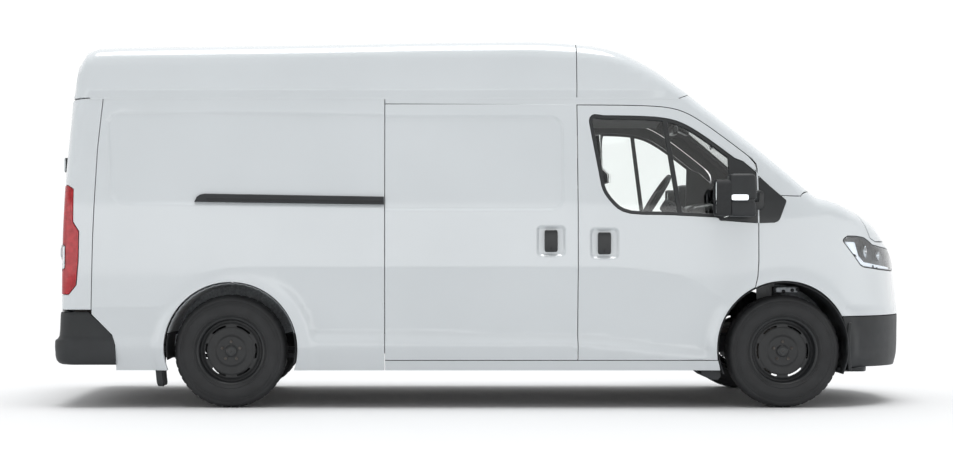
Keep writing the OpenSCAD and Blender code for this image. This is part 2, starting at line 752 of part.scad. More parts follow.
// Steering knuckle with its spindle, brake disc and kingpin boss.
module knuckle(side) {
    color("dimgray") translate([front_x, side * track / 2, wheel_z]) {
        translate([0, side * (hub_face - 25), 0]) rotate([90, 0, 0])
            cylinder(h = 90, r = hub_radius, center = true);
        translate([0, side * (hub_face - 54), 0]) rotate([90, 0, 0])
            cylinder(h = 24, r = disc_radius, center = true);
        translate([-45, side > 0 ? -100 : 20, -110]) cube([90, 80, 220]);
    }
}
module knuckle_left() knuckle(1);
module knuckle_right() knuckle(-1);

// Cab interior.
driver_y = 430;
column_tilt = 32;
wheel_centre = [front_x - 620, driver_y, 1300];
module dashboard() {
    color("dimgray") {
        translate([0, half - 140, 0]) rotate([90, 0, 0]) linear_extrude(2 * half - 280) polygon([
            [front_x - 330, 790], [front_x - 420, 960], [front_x - 440, 1085], [front_x - 380, 1170],
            [front_x - 60, 1215], [front_x + 20, 1180], [front_x + 20, 790]]);
        translate(wheel_centre) rotate([0, column_tilt, 0]) translate([60, 0, 0]) rotate([0, 90, 0])
            cylinder(h = 300, r = 32);
    }
}
module steering_wheel() {
    color("black") translate(wheel_centre) rotate([0, column_tilt - 90, 0]) {
        rotate_extrude() translate([steering_wheel_diameter / 2 - 16, 0]) circle(r = 15);
        cylinder(h = 44, r = 62, center = true);
        for (a = [0, 120, 240]) rotate([0, 0, a]) translate([20, -22, -9])
            cube([steering_wheel_diameter / 2 - 40, 44, 18]);
    }
}
seat_x = front_x - 1175;
module seat(y, width) {
    translate([seat_x, y - width / 2, cab_floor_height + 0.3]) cube([470, width, 250]);
    translate([seat_x, y + width / 2, cab_floor_height + 250]) rotate([90, 0, 0]) linear_extrude(width)
        polygon([[0, 0], [530, 0], [560, 60], [530, 120], [140, 100], [20, 640], [-70, 640]]);
    translate([seat_x, y + 130, cab_floor_height + 885]) rotate([90, 0, 0]) linear_extrude(260)
        polygon([[-62, 0], [14, 0], [0, 190], [-80, 190]]);
}
module seats() {
    color("dimgray") {
        seat(driver_y, 520);
        seat(-driver_y + 60, 800);
    }
}
module cowl() {
    color("black") translate([cowl_x, screen_foot_half - 90, bonnet_height]) rotate([90, 0, 0])
        linear_extrude(2 * screen_foot_half - 180) polygon([[-150, -120], [4, -130], [4, -75], [-150, -65]]);
}

// Door mirrors: the sail panel, an arm and a head with its glass to the rear.
mirror_out = 1235;
mirror_width = 170;
mirror_head = [[-450, 1166], [-450, 1350], [-385, 1418], [-225, 1418], [-210, 1395],
    [-210, 1180], [-235, 1156], [-430, 1156]];
arm_z = 1250;
arm_height = 60;
module mirror(side) {
    color("black") sheet() {
        sail_panel(side);
        translate([front_x, side > 0 ? mirror_out : mirror_width - mirror_out, 0]) rotate([90, 0, 0])
            linear_extrude(mirror_width) polygon(mirror_head);
        scale([1, side, 1]) {
            translate([front_x - 245, half - 14, arm_z]) cube([73, 80, arm_height]);
            translate([front_x - 245, half - 70, arm_z]) cube([38, 70, arm_height]);
        }
    }
}
module mirror_left() mirror(1);
module mirror_right() mirror(-1);

// Threaded socket for the towing eye, on the end of the right front rail.
module tow_socket() {
    color("dimgray") translate([front_x + tow_setback, tow_y, tow_z]) rotate([0, 90, 0]) difference() {
        cylinder(h = tow_bore_depth, r = tow_bore_radius + 8);
        translate([0, 0, -1]) cylinder(h = tow_bore_depth + 2, r = tow_bore_radius);
    }
}

roof_panel();
roof_cap();
side_left();
side_right();
cab_frame();
sliding_door();
slide_rail();
load_floor();
bulkhead();
windscreen();
wings();
front_panel();
front_bumper();
rear_bumper();
headlamps();
tail_lamps();
corner_posts();
arch_liners();
cowl();
dashboard();
seats();
motor();
chassis_frame();
front_axle();
rear_axle();
tow_socket();
front_door_left();
front_door_right();
door_glass_left();
door_glass_right();
mirror_left();
mirror_right();
rear_door_left();
rear_door_right();
bonnet();
tyre_front_left();
tyre_front_right();
tyre_rear_left();
tyre_rear_right();
rim_front_left();
rim_front_right();
rim_rear_left();
rim_rear_right();
knuckle_left();
knuckle_right();
steering_wheel();
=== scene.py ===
import bmesh
import bpy
import numpy as np
from math import acos, asin, atan2, cos, degrees, exp, hypot, pi, radians, sin, sqrt, tan
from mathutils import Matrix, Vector
from mathutils.geometry import delaunay_2d_cdt
from mathutils.kdtree import KDTree


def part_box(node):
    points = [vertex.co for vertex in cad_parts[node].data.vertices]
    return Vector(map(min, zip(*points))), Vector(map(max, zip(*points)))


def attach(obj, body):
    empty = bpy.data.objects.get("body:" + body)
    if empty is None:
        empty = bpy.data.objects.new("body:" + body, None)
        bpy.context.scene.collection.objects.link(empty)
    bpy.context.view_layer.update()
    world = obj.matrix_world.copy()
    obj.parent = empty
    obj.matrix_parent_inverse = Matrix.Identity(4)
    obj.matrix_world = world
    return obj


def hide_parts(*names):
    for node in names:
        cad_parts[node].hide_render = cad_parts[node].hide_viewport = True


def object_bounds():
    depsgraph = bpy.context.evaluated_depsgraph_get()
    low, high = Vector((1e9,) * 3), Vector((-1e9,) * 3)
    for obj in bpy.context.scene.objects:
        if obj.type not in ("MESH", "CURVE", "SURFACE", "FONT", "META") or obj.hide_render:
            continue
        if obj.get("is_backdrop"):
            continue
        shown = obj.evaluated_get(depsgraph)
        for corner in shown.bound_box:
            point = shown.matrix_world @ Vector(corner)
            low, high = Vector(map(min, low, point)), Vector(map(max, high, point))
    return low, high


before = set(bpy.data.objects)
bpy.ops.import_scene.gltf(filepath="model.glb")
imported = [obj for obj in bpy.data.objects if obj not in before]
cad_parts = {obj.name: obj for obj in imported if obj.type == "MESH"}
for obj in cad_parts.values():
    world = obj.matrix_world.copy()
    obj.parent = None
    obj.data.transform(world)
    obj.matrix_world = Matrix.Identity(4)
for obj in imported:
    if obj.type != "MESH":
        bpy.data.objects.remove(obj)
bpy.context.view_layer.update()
mm = 0.001
print("frame loaded")

# sizes of the van in millimetres, read off the frame where it has them
frontBox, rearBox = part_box("tyre_front_left"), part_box("tyre_rear_left")
frontX = (frontBox[0].x + frontBox[1].x) / 2 / mm
rearX = (rearBox[0].x + rearBox[1].x) / 2 / mm
wheelZ = (frontBox[0].z + frontBox[1].z) / 2 / mm
wheelY = (frontBox[0].y + frontBox[1].y) / 2 / mm
tyreRadius = (frontBox[1].z - frontBox[0].z) / 2 / mm
van = {"frontOverhang": 856, "rearOverhang": 1105, "halfWidth": 1015, "roofHeight": 2285,
    "bonnetHeight": 1335, "sillHeight": 225, "doorBottom": 289, "windowTop": 1787, "doorTop": 1851,
    "gutter": 1886, "bumperTop": 555, "archRadius": 404, "panelGap": 3.8, "skin": 22}
sides = ((1, "left"), (-1, "right"))
arcScale = 1000.0     # plan length of one radian on the charts that wrap round
roofScale = 850.0     # and over the roof
postX = frontX - 1256
slideRearX = postX - 1172
doorFrontX = frontX - 163
headerX = frontX - 540
cowlX = frontX + 206
screenTopX = frontX - 469
noseStartX = frontX - 55
frontArch = (frontX - 7, wheelZ + 24)
rearArch = (rearX + 4, wheelZ + 17)


def softTable(pairs, blur, step=2.0):
    # straight steps between the pairs, rounded over about the blur length
    px, py = zip(*pairs)
    xs = np.arange(min(px) - 4 * blur - step, max(px) + 4 * blur + 2 * step, step)
    ys = np.interp(xs, px, py)
    reach = int(3 * blur / step)
    kernel = np.exp(-0.5 * (np.arange(-reach, reach + 1) * step / blur) ** 2)
    kernel /= kernel.sum()
    before = ys[0] - (ys[1] - ys[0]) * np.arange(reach, 0, -1)
    after = ys[-1] + (ys[-1] - ys[-2]) * np.arange(1, reach + 1)
    ys = np.convolve(np.concatenate([before, ys, after]), kernel, mode="valid")
    return lambda v: np.interp(v, xs, ys)


def clamp01(v):
    return np.clip(v, 0.0, 1.0)


def easeStep(a, b, v):
    t = clamp01((np.asarray(v, float) - a) / (b - a))
    return t * t * (3 - 2 * t)


def softMin(a, b, k):
    return (a + b - np.sqrt((a - b) ** 2 + k * k)) / 2


# drops, insets and crowns in millimetres at distances along the van or heights above the ground
roofRear = softTable([(-1200, 900), (-1120, 600), (-958, 180), (-948, 145), (-925, 105), (-890, 73),
    (-840, 50), (-700, 42), (400, 27), (1300, 9), (2100, 6)], 12)
roofFront = softTable([(-2600, 20), (-1800, 7), (-1507, 4), (-1340, 12), (-1216, 22), (-1091, 38), (-967, 69),
    (-780, 159), (-593, 284), (-469, 377), (-300, 504)], 45)
bonnetDrop = softTable([(-80, -160), (206, -4), (226, 0), (346, 37), (477, 102), (608, 174), (686, 247),
    (749, 298), (813, 405), (880, 560), (930, 800)], 14)
crownTable = softTable([(-1700, 38), (-1100, 40), (-593, 60), (-469, 72), (206, 72), (226, 58), (700, 45)],
    40)
edgeTable = softTable([(-1300, 90), (-1100, 90), (-469, 60), (700, 60)], 60)
upperInset = softTable([(700, 0), (850, 0), (1150, 7), (1250, 12), (1787, 90), (1886, 110), (2600, 250)], 30)
stepInset = softTable([(1800, 0), (1888, 0), (1938, 1), (2400, 1)], 5)
noseTable = softTable([(150, 60), (225, 22), (300, 5), (330, 0), (555, 0), (704, 18), (930, 43), (1000, 66),
    (1150, 96), (1300, 116), (1500, 150)], 22)
tailTable = softTable([(200, 77), (469, 77), (1058, 84), (1450, 102), (1886, 139), (2285, 152)], 60)


def roofLine(x):
    rear = van["roofHeight"] - roofRear(x - rearX)
    front = van["roofHeight"] - roofFront(x - frontX)
    w = easeStep(frontX - 1950, frontX - 1700, x)
    return rear * (1 - w) + front * w


def bonnetLine(x):
    return van["bonnetHeight"] - bonnetDrop(x - frontX)


screenTopZ, screenFootZ = float(roofLine(screenTopX)), float(bonnetLine(cowlX))


def topZ(x):
    x = np.asarray(x, float)
    u = clamp01((x - screenTopX) / (cowlX - screenTopX))
    screen = screenTopZ * (1 - u) + screenFootZ * u + 14 * np.sin(np.pi * u)
    wRoof, wBonnet = easeStep(-25, 25, screenTopX - x), easeStep(-10, 10, x - cowlX)
    z = screen * (1 - wRoof) + roofLine(x) * wRoof
    return z * (1 - wBonnet) + bonnetLine(x) * wBonnet


# crease of the shoulder and top of the rocker, along the van between the arches
creaseLine = softTable([(-3500, 606), (-1950, 606), (-1600, 850), (postX + 250, 850), (frontX - 620, 800),
    (frontX - 496, 748), (frontX - 380, 640), (frontX + 900, 600)], 60)
rockerLine = softTable([(-3500, 440), (-1800, 440), (rearX + 560, 478), (620, 447), (1117, 385),
    (frontX - 300, 360), (frontX + 900, 360)], 50)
sideDish = {"dishDepth": 42, "bulge": 9, "flareReach": 62}


def lowerInset(x, z):
    zc, zr = creaseLine(x), rockerLine(x)
    between = easeStep(rearX + 200, rearX + 420, x)
    depth = sideDish["dishDepth"] * (0.55 + 0.45 * between)
    up = clamp01((zc - z) / np.maximum(zc - zr, 1))
    dish = depth * up ** 0.8
    belowRocker = clamp01((zr - z) / 82)
    dish = dish - (dish - sideDish["bulge"]) * easeStep(0, 1, belowRocker) * between
    foot = 25 * clamp01((372 - z) / 83) ** 1.2 + 22 * clamp01((289 - z) / 64)
    # the dish fades out towards the flare of each arch
    flare = np.ones_like(z)
    for cx, cz in (frontArch, rearArch):
        r = np.hypot(x - cx, z - cz)
        lean = 40 * clamp01((x - cx) / 400) * (1 if cx == rearArch[0] else 0)
        flare = flare * easeStep(van["archRadius"] + 28 + lean, van["archRadius"] + 28 + lean
            + sideDish["flareReach"], r)
    return dish * flare + foot + 2.5 * (1 - flare)


def roundedDepth(x, z, x0, x1, z0, z1, r, depth, soft, lean=0.0):
    # depth of a pressed recess with rounded corners; positive goes into the body
    cx, cz = (x0 + x1) / 2, (z0 + z1) / 2
    qx = np.abs(x - cx - lean * (z - cz)) - (x1 - x0) / 2 + r
    qz = np.abs(z - cz) - (z1 - z0) / 2 + r
    d = np.hypot(np.maximum(qx, 0), np.maximum(qz, 0)) + np.minimum(np.maximum(qx, qz), 0) - r
    return depth * easeStep(soft / 2, -soft / 2, d)


recesses = {"blankDepth": 9, "blankSoft": 22, "dishDepth": 15, "dishSoft": 26}
blankRear = (rearX - 733, slideRearX, 1225, 1782)      # rear, front, foot and top of each blanked window
blankSlide = (slideRearX, postX - 89, 1205, 1775)
handleSpots = {"door": (frontX - 1097, 1000), "slide": (frontX - 1420, 1014)}


def relief(x, y, z):
    zTilt = z - (x - slideRearX) * -0.0125 * (x < slideRearX)
    d = roundedDepth(x, zTilt, blankRear[0], slideRearX + 900, blankRear[2], blankRear[3], 78,
        recesses["blankDepth"], recesses["blankSoft"], -0.045) * (x < slideRearX)
    d = d + roundedDepth(x, z, slideRearX - 900, blankSlide[1], blankSlide[2], blankSlide[3], 78,
        recesses["blankDepth"], recesses["blankSoft"]) * (x >= slideRearX)
    for name, (hx, hz) in handleSpots.items():
        there = (y < 0) if name == "slide" else np.ones_like(x, bool)
        d = d + there * roundedDepth(x, z, hx - 82, hx + 82, hz - 86, hz + 86, 24, recesses["dishDepth"],
            recesses["dishSoft"])
    return d


def tailRelief(y, z):
    across = np.abs(y)
    d = roundedDepth(across, z, 118, 772, 1265, 1790, 60, 8, 20)
    return d + roundedDepth(across, z, 118, 772, 690, 1120, 50, 8, 20)


def sideInset(x, z):
    band = easeStep(-0.5, 0.5, (rearX - 905 - x) / -60.0)      # the roof step begins past the tail's corner
    fade = 1 - easeStep(frontX - 900, frontX - 600, x)
    return (upperInset(z) + lowerInset(x, z) * (z < 1000) - 20 * stepInset(z) * band * fade - 36
        * easeStep(1941, 2300, z) * 0.55)


def cabInset(x, z):
    return 60 * clamp01((x - postX) / (noseStartX - postX)) ** 2 * clamp01((z - 1160) / (1787 - 1160))


def noseX(z):
    return frontX + van["frontOverhang"] - noseTable(z)


def tailX(z):
    return rearX - van["rearOverhang"] + tailTable(z)


def roundJoin(a, b, r):
    # outside distance of two faces that meet on a rounded edge
    u = np.maximum(r + a, 0)
    v = np.maximum(r + b, 0)
    return np.minimum(-r, np.maximum(a, b)) + np.hypot(u, v)


nosePower = 2.5


def bodyField(p, pressed=True):
    # below zero inside the van's skin and above zero outside
    x, y, z = p[..., 0], p[..., 1], p[..., 2]
    side = van["halfWidth"] - sideInset(x, z) - cabInset(np.minimum(x, noseStartX), z)
    if pressed:
        side = side - relief(x, y, z)
    u = np.maximum(x - noseStartX, 0) / (noseX(z) - noseStartX)
    g = ((np.abs(y) / side) ** nosePower + u ** nosePower) ** (1 / nosePower)
    a = (g - 1) * side
    w = np.maximum(side - edgeTable(x - frontX), 300) * np.maximum(1 - u ** nosePower,
        0.02) ** (1 / nosePower)
    w = np.maximum(w, 250)
    b = z - (topZ(x) - crownTable(x - frontX) * np.minimum(np.abs(y) / w, 1.25) ** 2)
    f = roundJoin(a, b, edgeTable(x - frontX))
    bow = 34 * (1 - np.minimum(np.abs(y) / 940, 1) ** 2)
    c = tailX(z) - bow - x
    if pressed:
        c = c + tailRelief(y, z) * (x < rearX - 700)
    return roundJoin(f, c, 75.0)


def skinNormal(p, pressed=True):
    e = 1.5
    g = np.stack([bodyField(p + np.array(d) * e, pressed) - bodyField(p - np.array(d) * e, pressed)
        for d in ((1, 0, 0), (0, 1, 0), (0, 0, 1))], -1)
    return g / np.maximum(np.linalg.norm(g, axis=-1, keepdims=True), 1e-9)


search = {"far": 3200.0, "halvings": 34}


def castSkin(origin, direction, pressed=True):
    # where rays from inside leave the skin, by halving
    lo, hi = np.zeros(len(origin)), np.full(len(origin), search["far"])
    for _ in range(search["halvings"]):
        mid = (lo + hi) / 2
        inside = bodyField(origin + direction * mid[:, None], pressed) < 0
        lo = np.where(inside, mid, lo)
        hi = np.where(inside, hi, mid)
    return origin + direction * ((lo + hi) / 2)[:, None]


# charts: each maps a flat plan to rays that meet the skin, and back
def planeChart(plane, out, level=0.0):
    # rays straight along one axis, from a plan across the other two
    axis = 3 - sum(plane)

    def rays(uv):
        o, d = np.full((len(uv), 3), float(level)), np.zeros((len(uv), 3))
        o[:, plane] = uv
        d[:, axis] = out
        return o, d
    return {"rays": rays, "flat": lambda p: p[:, plane]}


def sideChart(side):
    return planeChart([0, 2], side)


def topChart():
    return planeChart([0, 1], 1, 700)


def tailChart():
    return planeChart([1, 2], -1, rearX - 500)


def slantChart(side):
    # rays up and outwards through the shoulder, from the point y 300, z 1200
    c, s = cos(radians(48)), sin(radians(48))

    def rays(uv):
        o = np.stack([uv[:, 0], side * (300 - s * uv[:, 1]), 1200 + c * uv[:, 1]], -1)
        return o, np.tile([0.0, side * c, s], (len(uv), 1))

    def flat(p):
        return np.stack([p[:, 0], -s * (side * p[:, 1] - 300) + c * (p[:, 2] - 1200)], -1)
    return {"rays": rays, "flat": flat}


def noseChart(side):
    # azimuth and elevation seen from a point inside the nose
    cx, cz = frontX - 330, 760.0

    def rays(uv):
        az, el = uv[:, 0] / arcScale, uv[:, 1] / arcScale
        o = np.tile([cx, 0.0, cz], (len(uv), 1))
        return o, np.stack([np.cos(el) * np.cos(az), np.cos(el) * np.sin(az) * side, np.sin(el)], -1)

    def flat(p):
        dx, dy, dz = p[:, 0] - cx, p[:, 1] * side, p[:, 2] - cz
        return np.stack([np.arctan2(dy, dx), np.arctan2(dz, np.hypot(dx, dy))], -1) * arcScale
    return {"rays": rays, "flat": flat}


def wrapChart(cx):
    # azimuth about an upright line at cx, and height
    def rays(uv):
        az = uv[:, 0] / arcScale
        o = np.stack([np.full(len(uv), cx), np.zeros(len(uv)), uv[:, 1]], -1)
        return o, np.stack([np.cos(az), np.sin(az), np.zeros(len(uv))], -1)

    def flat(p):
        return np.stack([np.arctan2(p[:, 1], p[:, 0] - cx) * arcScale, p[:, 2]], -1)
    return {"rays": rays, "flat": flat}


def roofChart(cx):
    # length along the van and angle over it; behind cx the rays lean back over the tail
    cz, turn = 1500.0, 500.0

    def rays(uv):
        th = uv[:, 1] / roofScale
        back = np.maximum(cx - uv[:, 0], 0) / turn
        o = np.stack([np.maximum(uv[:, 0], cx), np.zeros(len(uv)), np.full(len(uv), cz)], -1)
        return o, np.stack([-np.sin(back), np.cos(back) * np.cos(th), np.cos(back) * np.sin(th)], -1)

    def flat(p):
        r = np.hypot(p[:, 1], p[:, 2] - cz)
        th = np.arctan2(p[:, 2] - cz, p[:, 1])
        u = np.where(p[:, 0] >= cx, p[:, 0], cx - np.arctan2(cx - p[:, 0], r) * turn)
        return np.stack([u, th * roofScale], -1)
    return {"rays": rays, "flat": flat}


def resample(points, spacing, closed=False):
    # even steps along each straight piece, so corners stay
    pts = [np.array(p, float) for p in points]
    if closed:
        pts.append(pts[0])
    out = []
    for a, b in zip(pts[:-1], pts[1:]):
        n = max(1, int(round(np.linalg.norm(b - a) / spacing)))
        out += [a + (b - a) * i / n for i in range(n)]
    if not closed:
        out.append(pts[-1])
    return np.array(out)


def onSkin(chart, flatPoints, spacing=16.0, pressed=True, closed=False):
    return castSkin(*chart["rays"](resample(flatPoints, spacing, closed)), pressed)


def loopOn(chart, flatPoints, spacing=16.0, pressed=True):
    return onSkin(chart, flatPoints, spacing, pressed, True)


def joined(*curves):
    # one loop from curves that follow each other
    return np.concatenate([np.asarray(c, float) for c in curves])


def fromFront(pairs):
    # distances from the front axle and heights, as points of the side's plan
    return [(frontX + x, z) for x, z in pairs]


def rounded(points, radius, steps=5):
    # fillets every corner of a closed outline; radius is one number or one for each corner
    n = len(points)
    pts = [np.array(p, float) for p in points]
    radii = radius if hasattr(radius, "__len__") else [radius] * n
    out = []
    for i, p in enumerate(pts):
        a, b = pts[i - 1] - p, pts[(i + 1) % n] - p
        la, lb = np.linalg.norm(a), np.linalg.norm(b)
        a, b = a / la, b / lb
        half = acos(max(-1, min(1, float(a @ b)))) / 2
        if radii[i] <= 0 or half > 1.54 or half < 0.02:
            out.append(p)
            continue
        cut = min(radii[i] / tan(half), 0.46 * la, 0.46 * lb)
        r = cut * tan(half)
        centre = p + (a + b) / np.linalg.norm(a + b) * (r / sin(half))
        s, e = p + a * cut - centre, p + b * cut - centre
        turn = atan2(s[0] * e[1] - s[1] * e[0], float(s @ e))
        for k in range(steps + 1):
            t = turn * k / steps
            out.append(centre + np.array([s[0] * cos(t) - s[1] * sin(t), s[0] * sin(t) + s[1] * cos(t)]))
    return out


def arcPoints(cx, cz, r, a0, a1, n=24):
    return [(cx + r * cos(radians(a0 + (a1 - a0) * i / n)), cz + r * sin(radians(a0 + (a1 - a0) * i / n)))
        for i in range(n + 1)]


def signedArea(loop):
    x, y = loop[:, 0], loop[:, 1]
    return 0.5 * float(np.sum(x * np.roll(y, -1) - np.roll(x, -1) * y))


def insetLoop(loop, amount):
    # moves a closed loop to its left by the amount, with mitred corners
    prev, nxt = loop - np.roll(loop, 1, 0), np.roll(loop, -1, 0) - loop
    prev /= np.maximum(np.linalg.norm(prev, axis=1, keepdims=True), 1e-9)
    nxt /= np.maximum(np.linalg.norm(nxt, axis=1, keepdims=True), 1e-9)
    n1 = np.stack([-prev[:, 1], prev[:, 0]], -1)
    n2 = np.stack([-nxt[:, 1], nxt[:, 0]], -1)
    m = n1 + n2
    m /= np.maximum(np.linalg.norm(m, axis=1, keepdims=True), 1e-9)
    stretch = np.minimum(1 / np.maximum((m * n1).sum(1), 0.35), 2.2)
    return loop + m * (amount * stretch)[:, None]


def insideLoops(points, loops):
    inside = np.zeros(len(points), bool)
    for loop in loops:
        x0, y0 = loop[:, 0], loop[:, 1]
        x1, y1 = np.roll(x0, -1), np.roll(y0, -1)
        for a, b, c, d in zip(x0, y0, x1, y1):
            if b == d:
                continue
            crosses = ((points[:, 1] > b) != (points[:, 1] > d)) \
                & (points[:, 0] < (c - a) * (points[:, 1] - b) / (d - b) + a)
            inside ^= crosses
    return inside


def meshObject(name, verts, faces, materials, faceMaterials=None, smooth=True):
    mesh = bpy.data.meshes.new(name)
    mesh.from_pydata([tuple(v) for v in np.asarray(verts) * mm], [],
        [tuple(int(i) for i in f) for f in faces])
    for m in materials:
        mesh.materials.append(m)
    if faceMaterials is not None:
        mesh.polygons.foreach_set("material_index", np.asarray(faceMaterials, np.int32))
    mesh.polygons.foreach_set("use_smooth", np.full(len(mesh.polygons), smooth))
    mesh.update()
    obj = bpy.data.objects.new(name, mesh)
    bpy.context.scene.collection.objects.link(obj)
    return obj


# how close points of a panel's mesh may come, in millimetres and in parts of its spacing
meshing = {"sameSpot": 3.0, "fineToRim": 0.22, "gridToFine": 0.45, "gridToRim": 0.5, "bevel": 0.3}


def flatLoop(chart, curve, leftward):
    # a curve on the skin as a flat loop, without doubled points and turned the way asked
    loop = chart["flat"](np.asarray(curve, float))
    keep = [0]
    for k in range(1, len(loop)):
        if np.linalg.norm(loop[k] - loop[keep[-1]]) > meshing["sameSpot"]:
            keep.append(k)
    if np.linalg.norm(loop[keep[-1]] - loop[keep[0]]) < meshing["sameSpot"]:
        keep.pop()
    loop = loop[keep]
    return loop if (signedArea(loop) > 0) == leftward else loop[::-1]


def thinned(points, others, reach):
    # drops the points that come within reach of any of the others
    if not len(points) or not len(others):
        return points
    tree = KDTree(len(others))
    for k, q in enumerate(others):
        tree.insert((q[0], q[1], 0), k)
    tree.balance()
    return np.array([q for q in points if tree.find((q[0], q[1], 0))[2] > reach]).reshape(-1, 2)


def filled(top, spacing, detail):
    # points and triangles between flat loops: the loops, then finer points, then an even grid
    rim = np.concatenate(top)
    low, high = rim.min(0), rim.max(0)
    gx, gy = (np.arange(low[i] + spacing * 0.5, high[i], spacing) for i in (0, 1))
    grid = np.array([(a, b) for a in gx for b in gy]).reshape(-1, 2)
    fine = np.concatenate([np.zeros((0, 2))] + [np.asarray(d, float) for d in detail if len(d)])
    if len(fine):
        fine = thinned(fine[insideLoops(fine, top)], rim, spacing * meshing["fineToRim"])
        grid = thinned(grid, fine, spacing * meshing["gridToFine"])
    grid = thinned(grid[insideLoops(grid, top)], rim, spacing * meshing["gridToRim"])
    points = np.concatenate([rim, fine, grid])
    edges, start = [], 0
    for loop in top:
        n = len(loop)
        edges += [(start + k, start + (k + 1) % n) for k in range(n)]
        start += n
    cut = delaunay_2d_cdt([Vector((float(a), float(b))) for a, b in points], edges, [], 0, 1e-6)
    origins = [o[0] if len(o) else -1 for o in cut[3]]
    tris = [[origins[k] for k in f] for f in cut[2]]
    tris = np.array([t for t in tris if min(t) >= 0 and len(set(t)) == 3])
    tris = tris[insideLoops(points[tris].mean(1), top)]
    a, b, c = (points[tris[:, i]] for i in (0, 1, 2))
    turned = (b[:, 0] - a[:, 0]) * (c[:, 1] - a[:, 1]) - (b[:, 1] - a[:, 1]) * (c[:, 0] - a[:, 0]) < 0
    tris[turned] = tris[turned][:, ::-1]
    return points, tris


def panel(name, chart, outline, materials, holes=(), gap=None, edge=3.0, depth=None, sunk=0.0, spacing=30.0,
        detail=(), pressed=True):
    # a closed sheet that lies on the skin: outline and holes are 3-D points on it, in order;
    # sunk is how far its face lies below the skin, depth its thickness, and detail more flat points
    gap = van["panelGap"] / 2 if gap is None else gap
    depth = van["skin"] if depth is None else depth
    loops = [flatLoop(chart, curve, i == 0) for i, curve in enumerate([outline, *holes])]
    bevel = edge * meshing["bevel"]
    rows = [(gap + edge, 0.0), (gap + bevel, bevel), (gap, edge), (gap, depth)]
    rowLoops = [[insetLoop(loop, off) for loop in loops] for off, _ in rows]
    top = rowLoops[0]
    flatPoints, tris = filled(top, spacing, detail)
    nTop, nLoop = len(flatPoints), sum(len(loop) for loop in top)
    allFlat = np.concatenate([flatPoints] + [loop for row in rowLoops[1:] for loop in row])
    if "place" in chart:
        skin, normal = chart["place"](allFlat)
    else:
        skin = castSkin(*chart["rays"](allFlat), pressed)
        normal = skinNormal(skin, pressed)
    down = np.concatenate([np.full(nTop, sunk)] + [np.full(nLoop, sunk + dep) for _, dep in rows[1:]])
    place = skin - normal * down[:, None]
    backPlace = skin[nLoop:nTop] - normal[nLoop:nTop] * (sunk + depth)
    rim = normal[:nLoop]
    outward = place[nTop + nLoop:nTop + 2 * nLoop] - place[:nLoop]
    outward -= rim * (outward * rim).sum(1)[:, None]
    outward /= np.maximum(np.linalg.norm(outward, axis=1, keepdims=True), 1e-9)
    normals = np.concatenate([normal[:nTop], rim * 0.7 + outward * 0.7, outward, outward,
        -normal[nLoop:nTop]])
    # the plan may be seen from inside, so a few triangles are asked which way they face
    votes = [np.cross(place[b] - place[a], place[c] - place[a]) @ normal[a] < 0 for a, b,
        c in tris[::max(1, len(tris) // 50)]]
    flip = sum(votes) * 2 > len(votes)
    lastRow, backAt = nTop + 2 * nLoop, nTop + 3 * nLoop
    faces = [t[::-1] if flip else t for t in tris]
    for t in tris:
        q = [lastRow + k if k < nLoop else backAt + k - nLoop for k in t]
        faces.append(q if flip else q[::-1])
    kinds = [0] * len(tris) + [1] * len(tris)
    starts, first = [0, nTop, nTop + nLoop, lastRow], 0
    for loop in top:
        n = len(loop)
        for r in range(3):
            for k in range(n):
                a, b = first + k, first + (k + 1) % n
                q = [starts[r] + a, starts[r] + b, starts[r + 1] + b, starts[r + 1] + a]
                faces.append(q if flip else q[::-1])
                kinds.append(0 if r < 2 else 1)
        first += n
    obj = meshObject(name, joined(place, backPlace), faces, materials, kinds if len(materials) > 1 else None)
    # the back keeps its own direction where it shares the rim's last row
    corners = []
    for i, face in enumerate(faces):
        isBack = len(tris) <= i < 2 * len(tris)
        corners += [tuple(-normal[v - lastRow] if isBack and lastRow <= v < backAt else normals[v])
            for v in face]
    obj.data.normals_split_custom_set(corners)
    return obj


def ringPoints(x0, x1, z0, z1, r, offsets, spacing=22.0, lean=0.0):
    # flat points along a rounded outline at several offsets, where a pressing needs finer mesh
    out = []
    for off in offsets:
        loop = rounded([(x0 - off, z0 - off), (x1 + off, z0 - off), (x1 + off, z1 + off),
            (x0 - off, z1 + off)], r + off)
        pts = resample(loop, spacing, True)
        pts[:, 0] += lean * (pts[:, 1] - (z0 + z1) / 2)
        out.append(pts)
    return np.concatenate(out)


def gridSolid(name, outer, inner, materials):
    # a closed sheet between two equal grids of points, rows by columns
    outer, inner = np.asarray(outer, float), np.asarray(inner, float)
    rows, cols = outer.shape[:2]
    n = rows * cols
    faces = []
    for i in range(rows - 1):
        for j in range(cols - 1):
            a, b = i * cols + j, i * cols + j + 1
            faces += [(a, b, b + cols, a + cols), (n + a, n + a + cols, n + b + cols, n + b)]
    for i in (0, rows - 1):
        for j in range(cols - 1):
            a, b = i * cols + j, i * cols + j + 1
            faces.append((a, n + a, n + b, b) if i == 0 else (a, b, n + b, n + a))
    for j in (0, cols - 1):
        for i in range(rows - 1):
            a, b = i * cols + j, (i + 1) * cols + j
            faces.append((a, b, n + b, n + a) if j == 0 else (a, n + a, n + b, b))
    obj = meshObject(name, joined(outer.reshape(-1, 3), inner.reshape(-1, 3)), faces, materials)
    obj.data.set_sharp_from_angle(angle=radians(38))
    fixNormals(obj)
    return obj


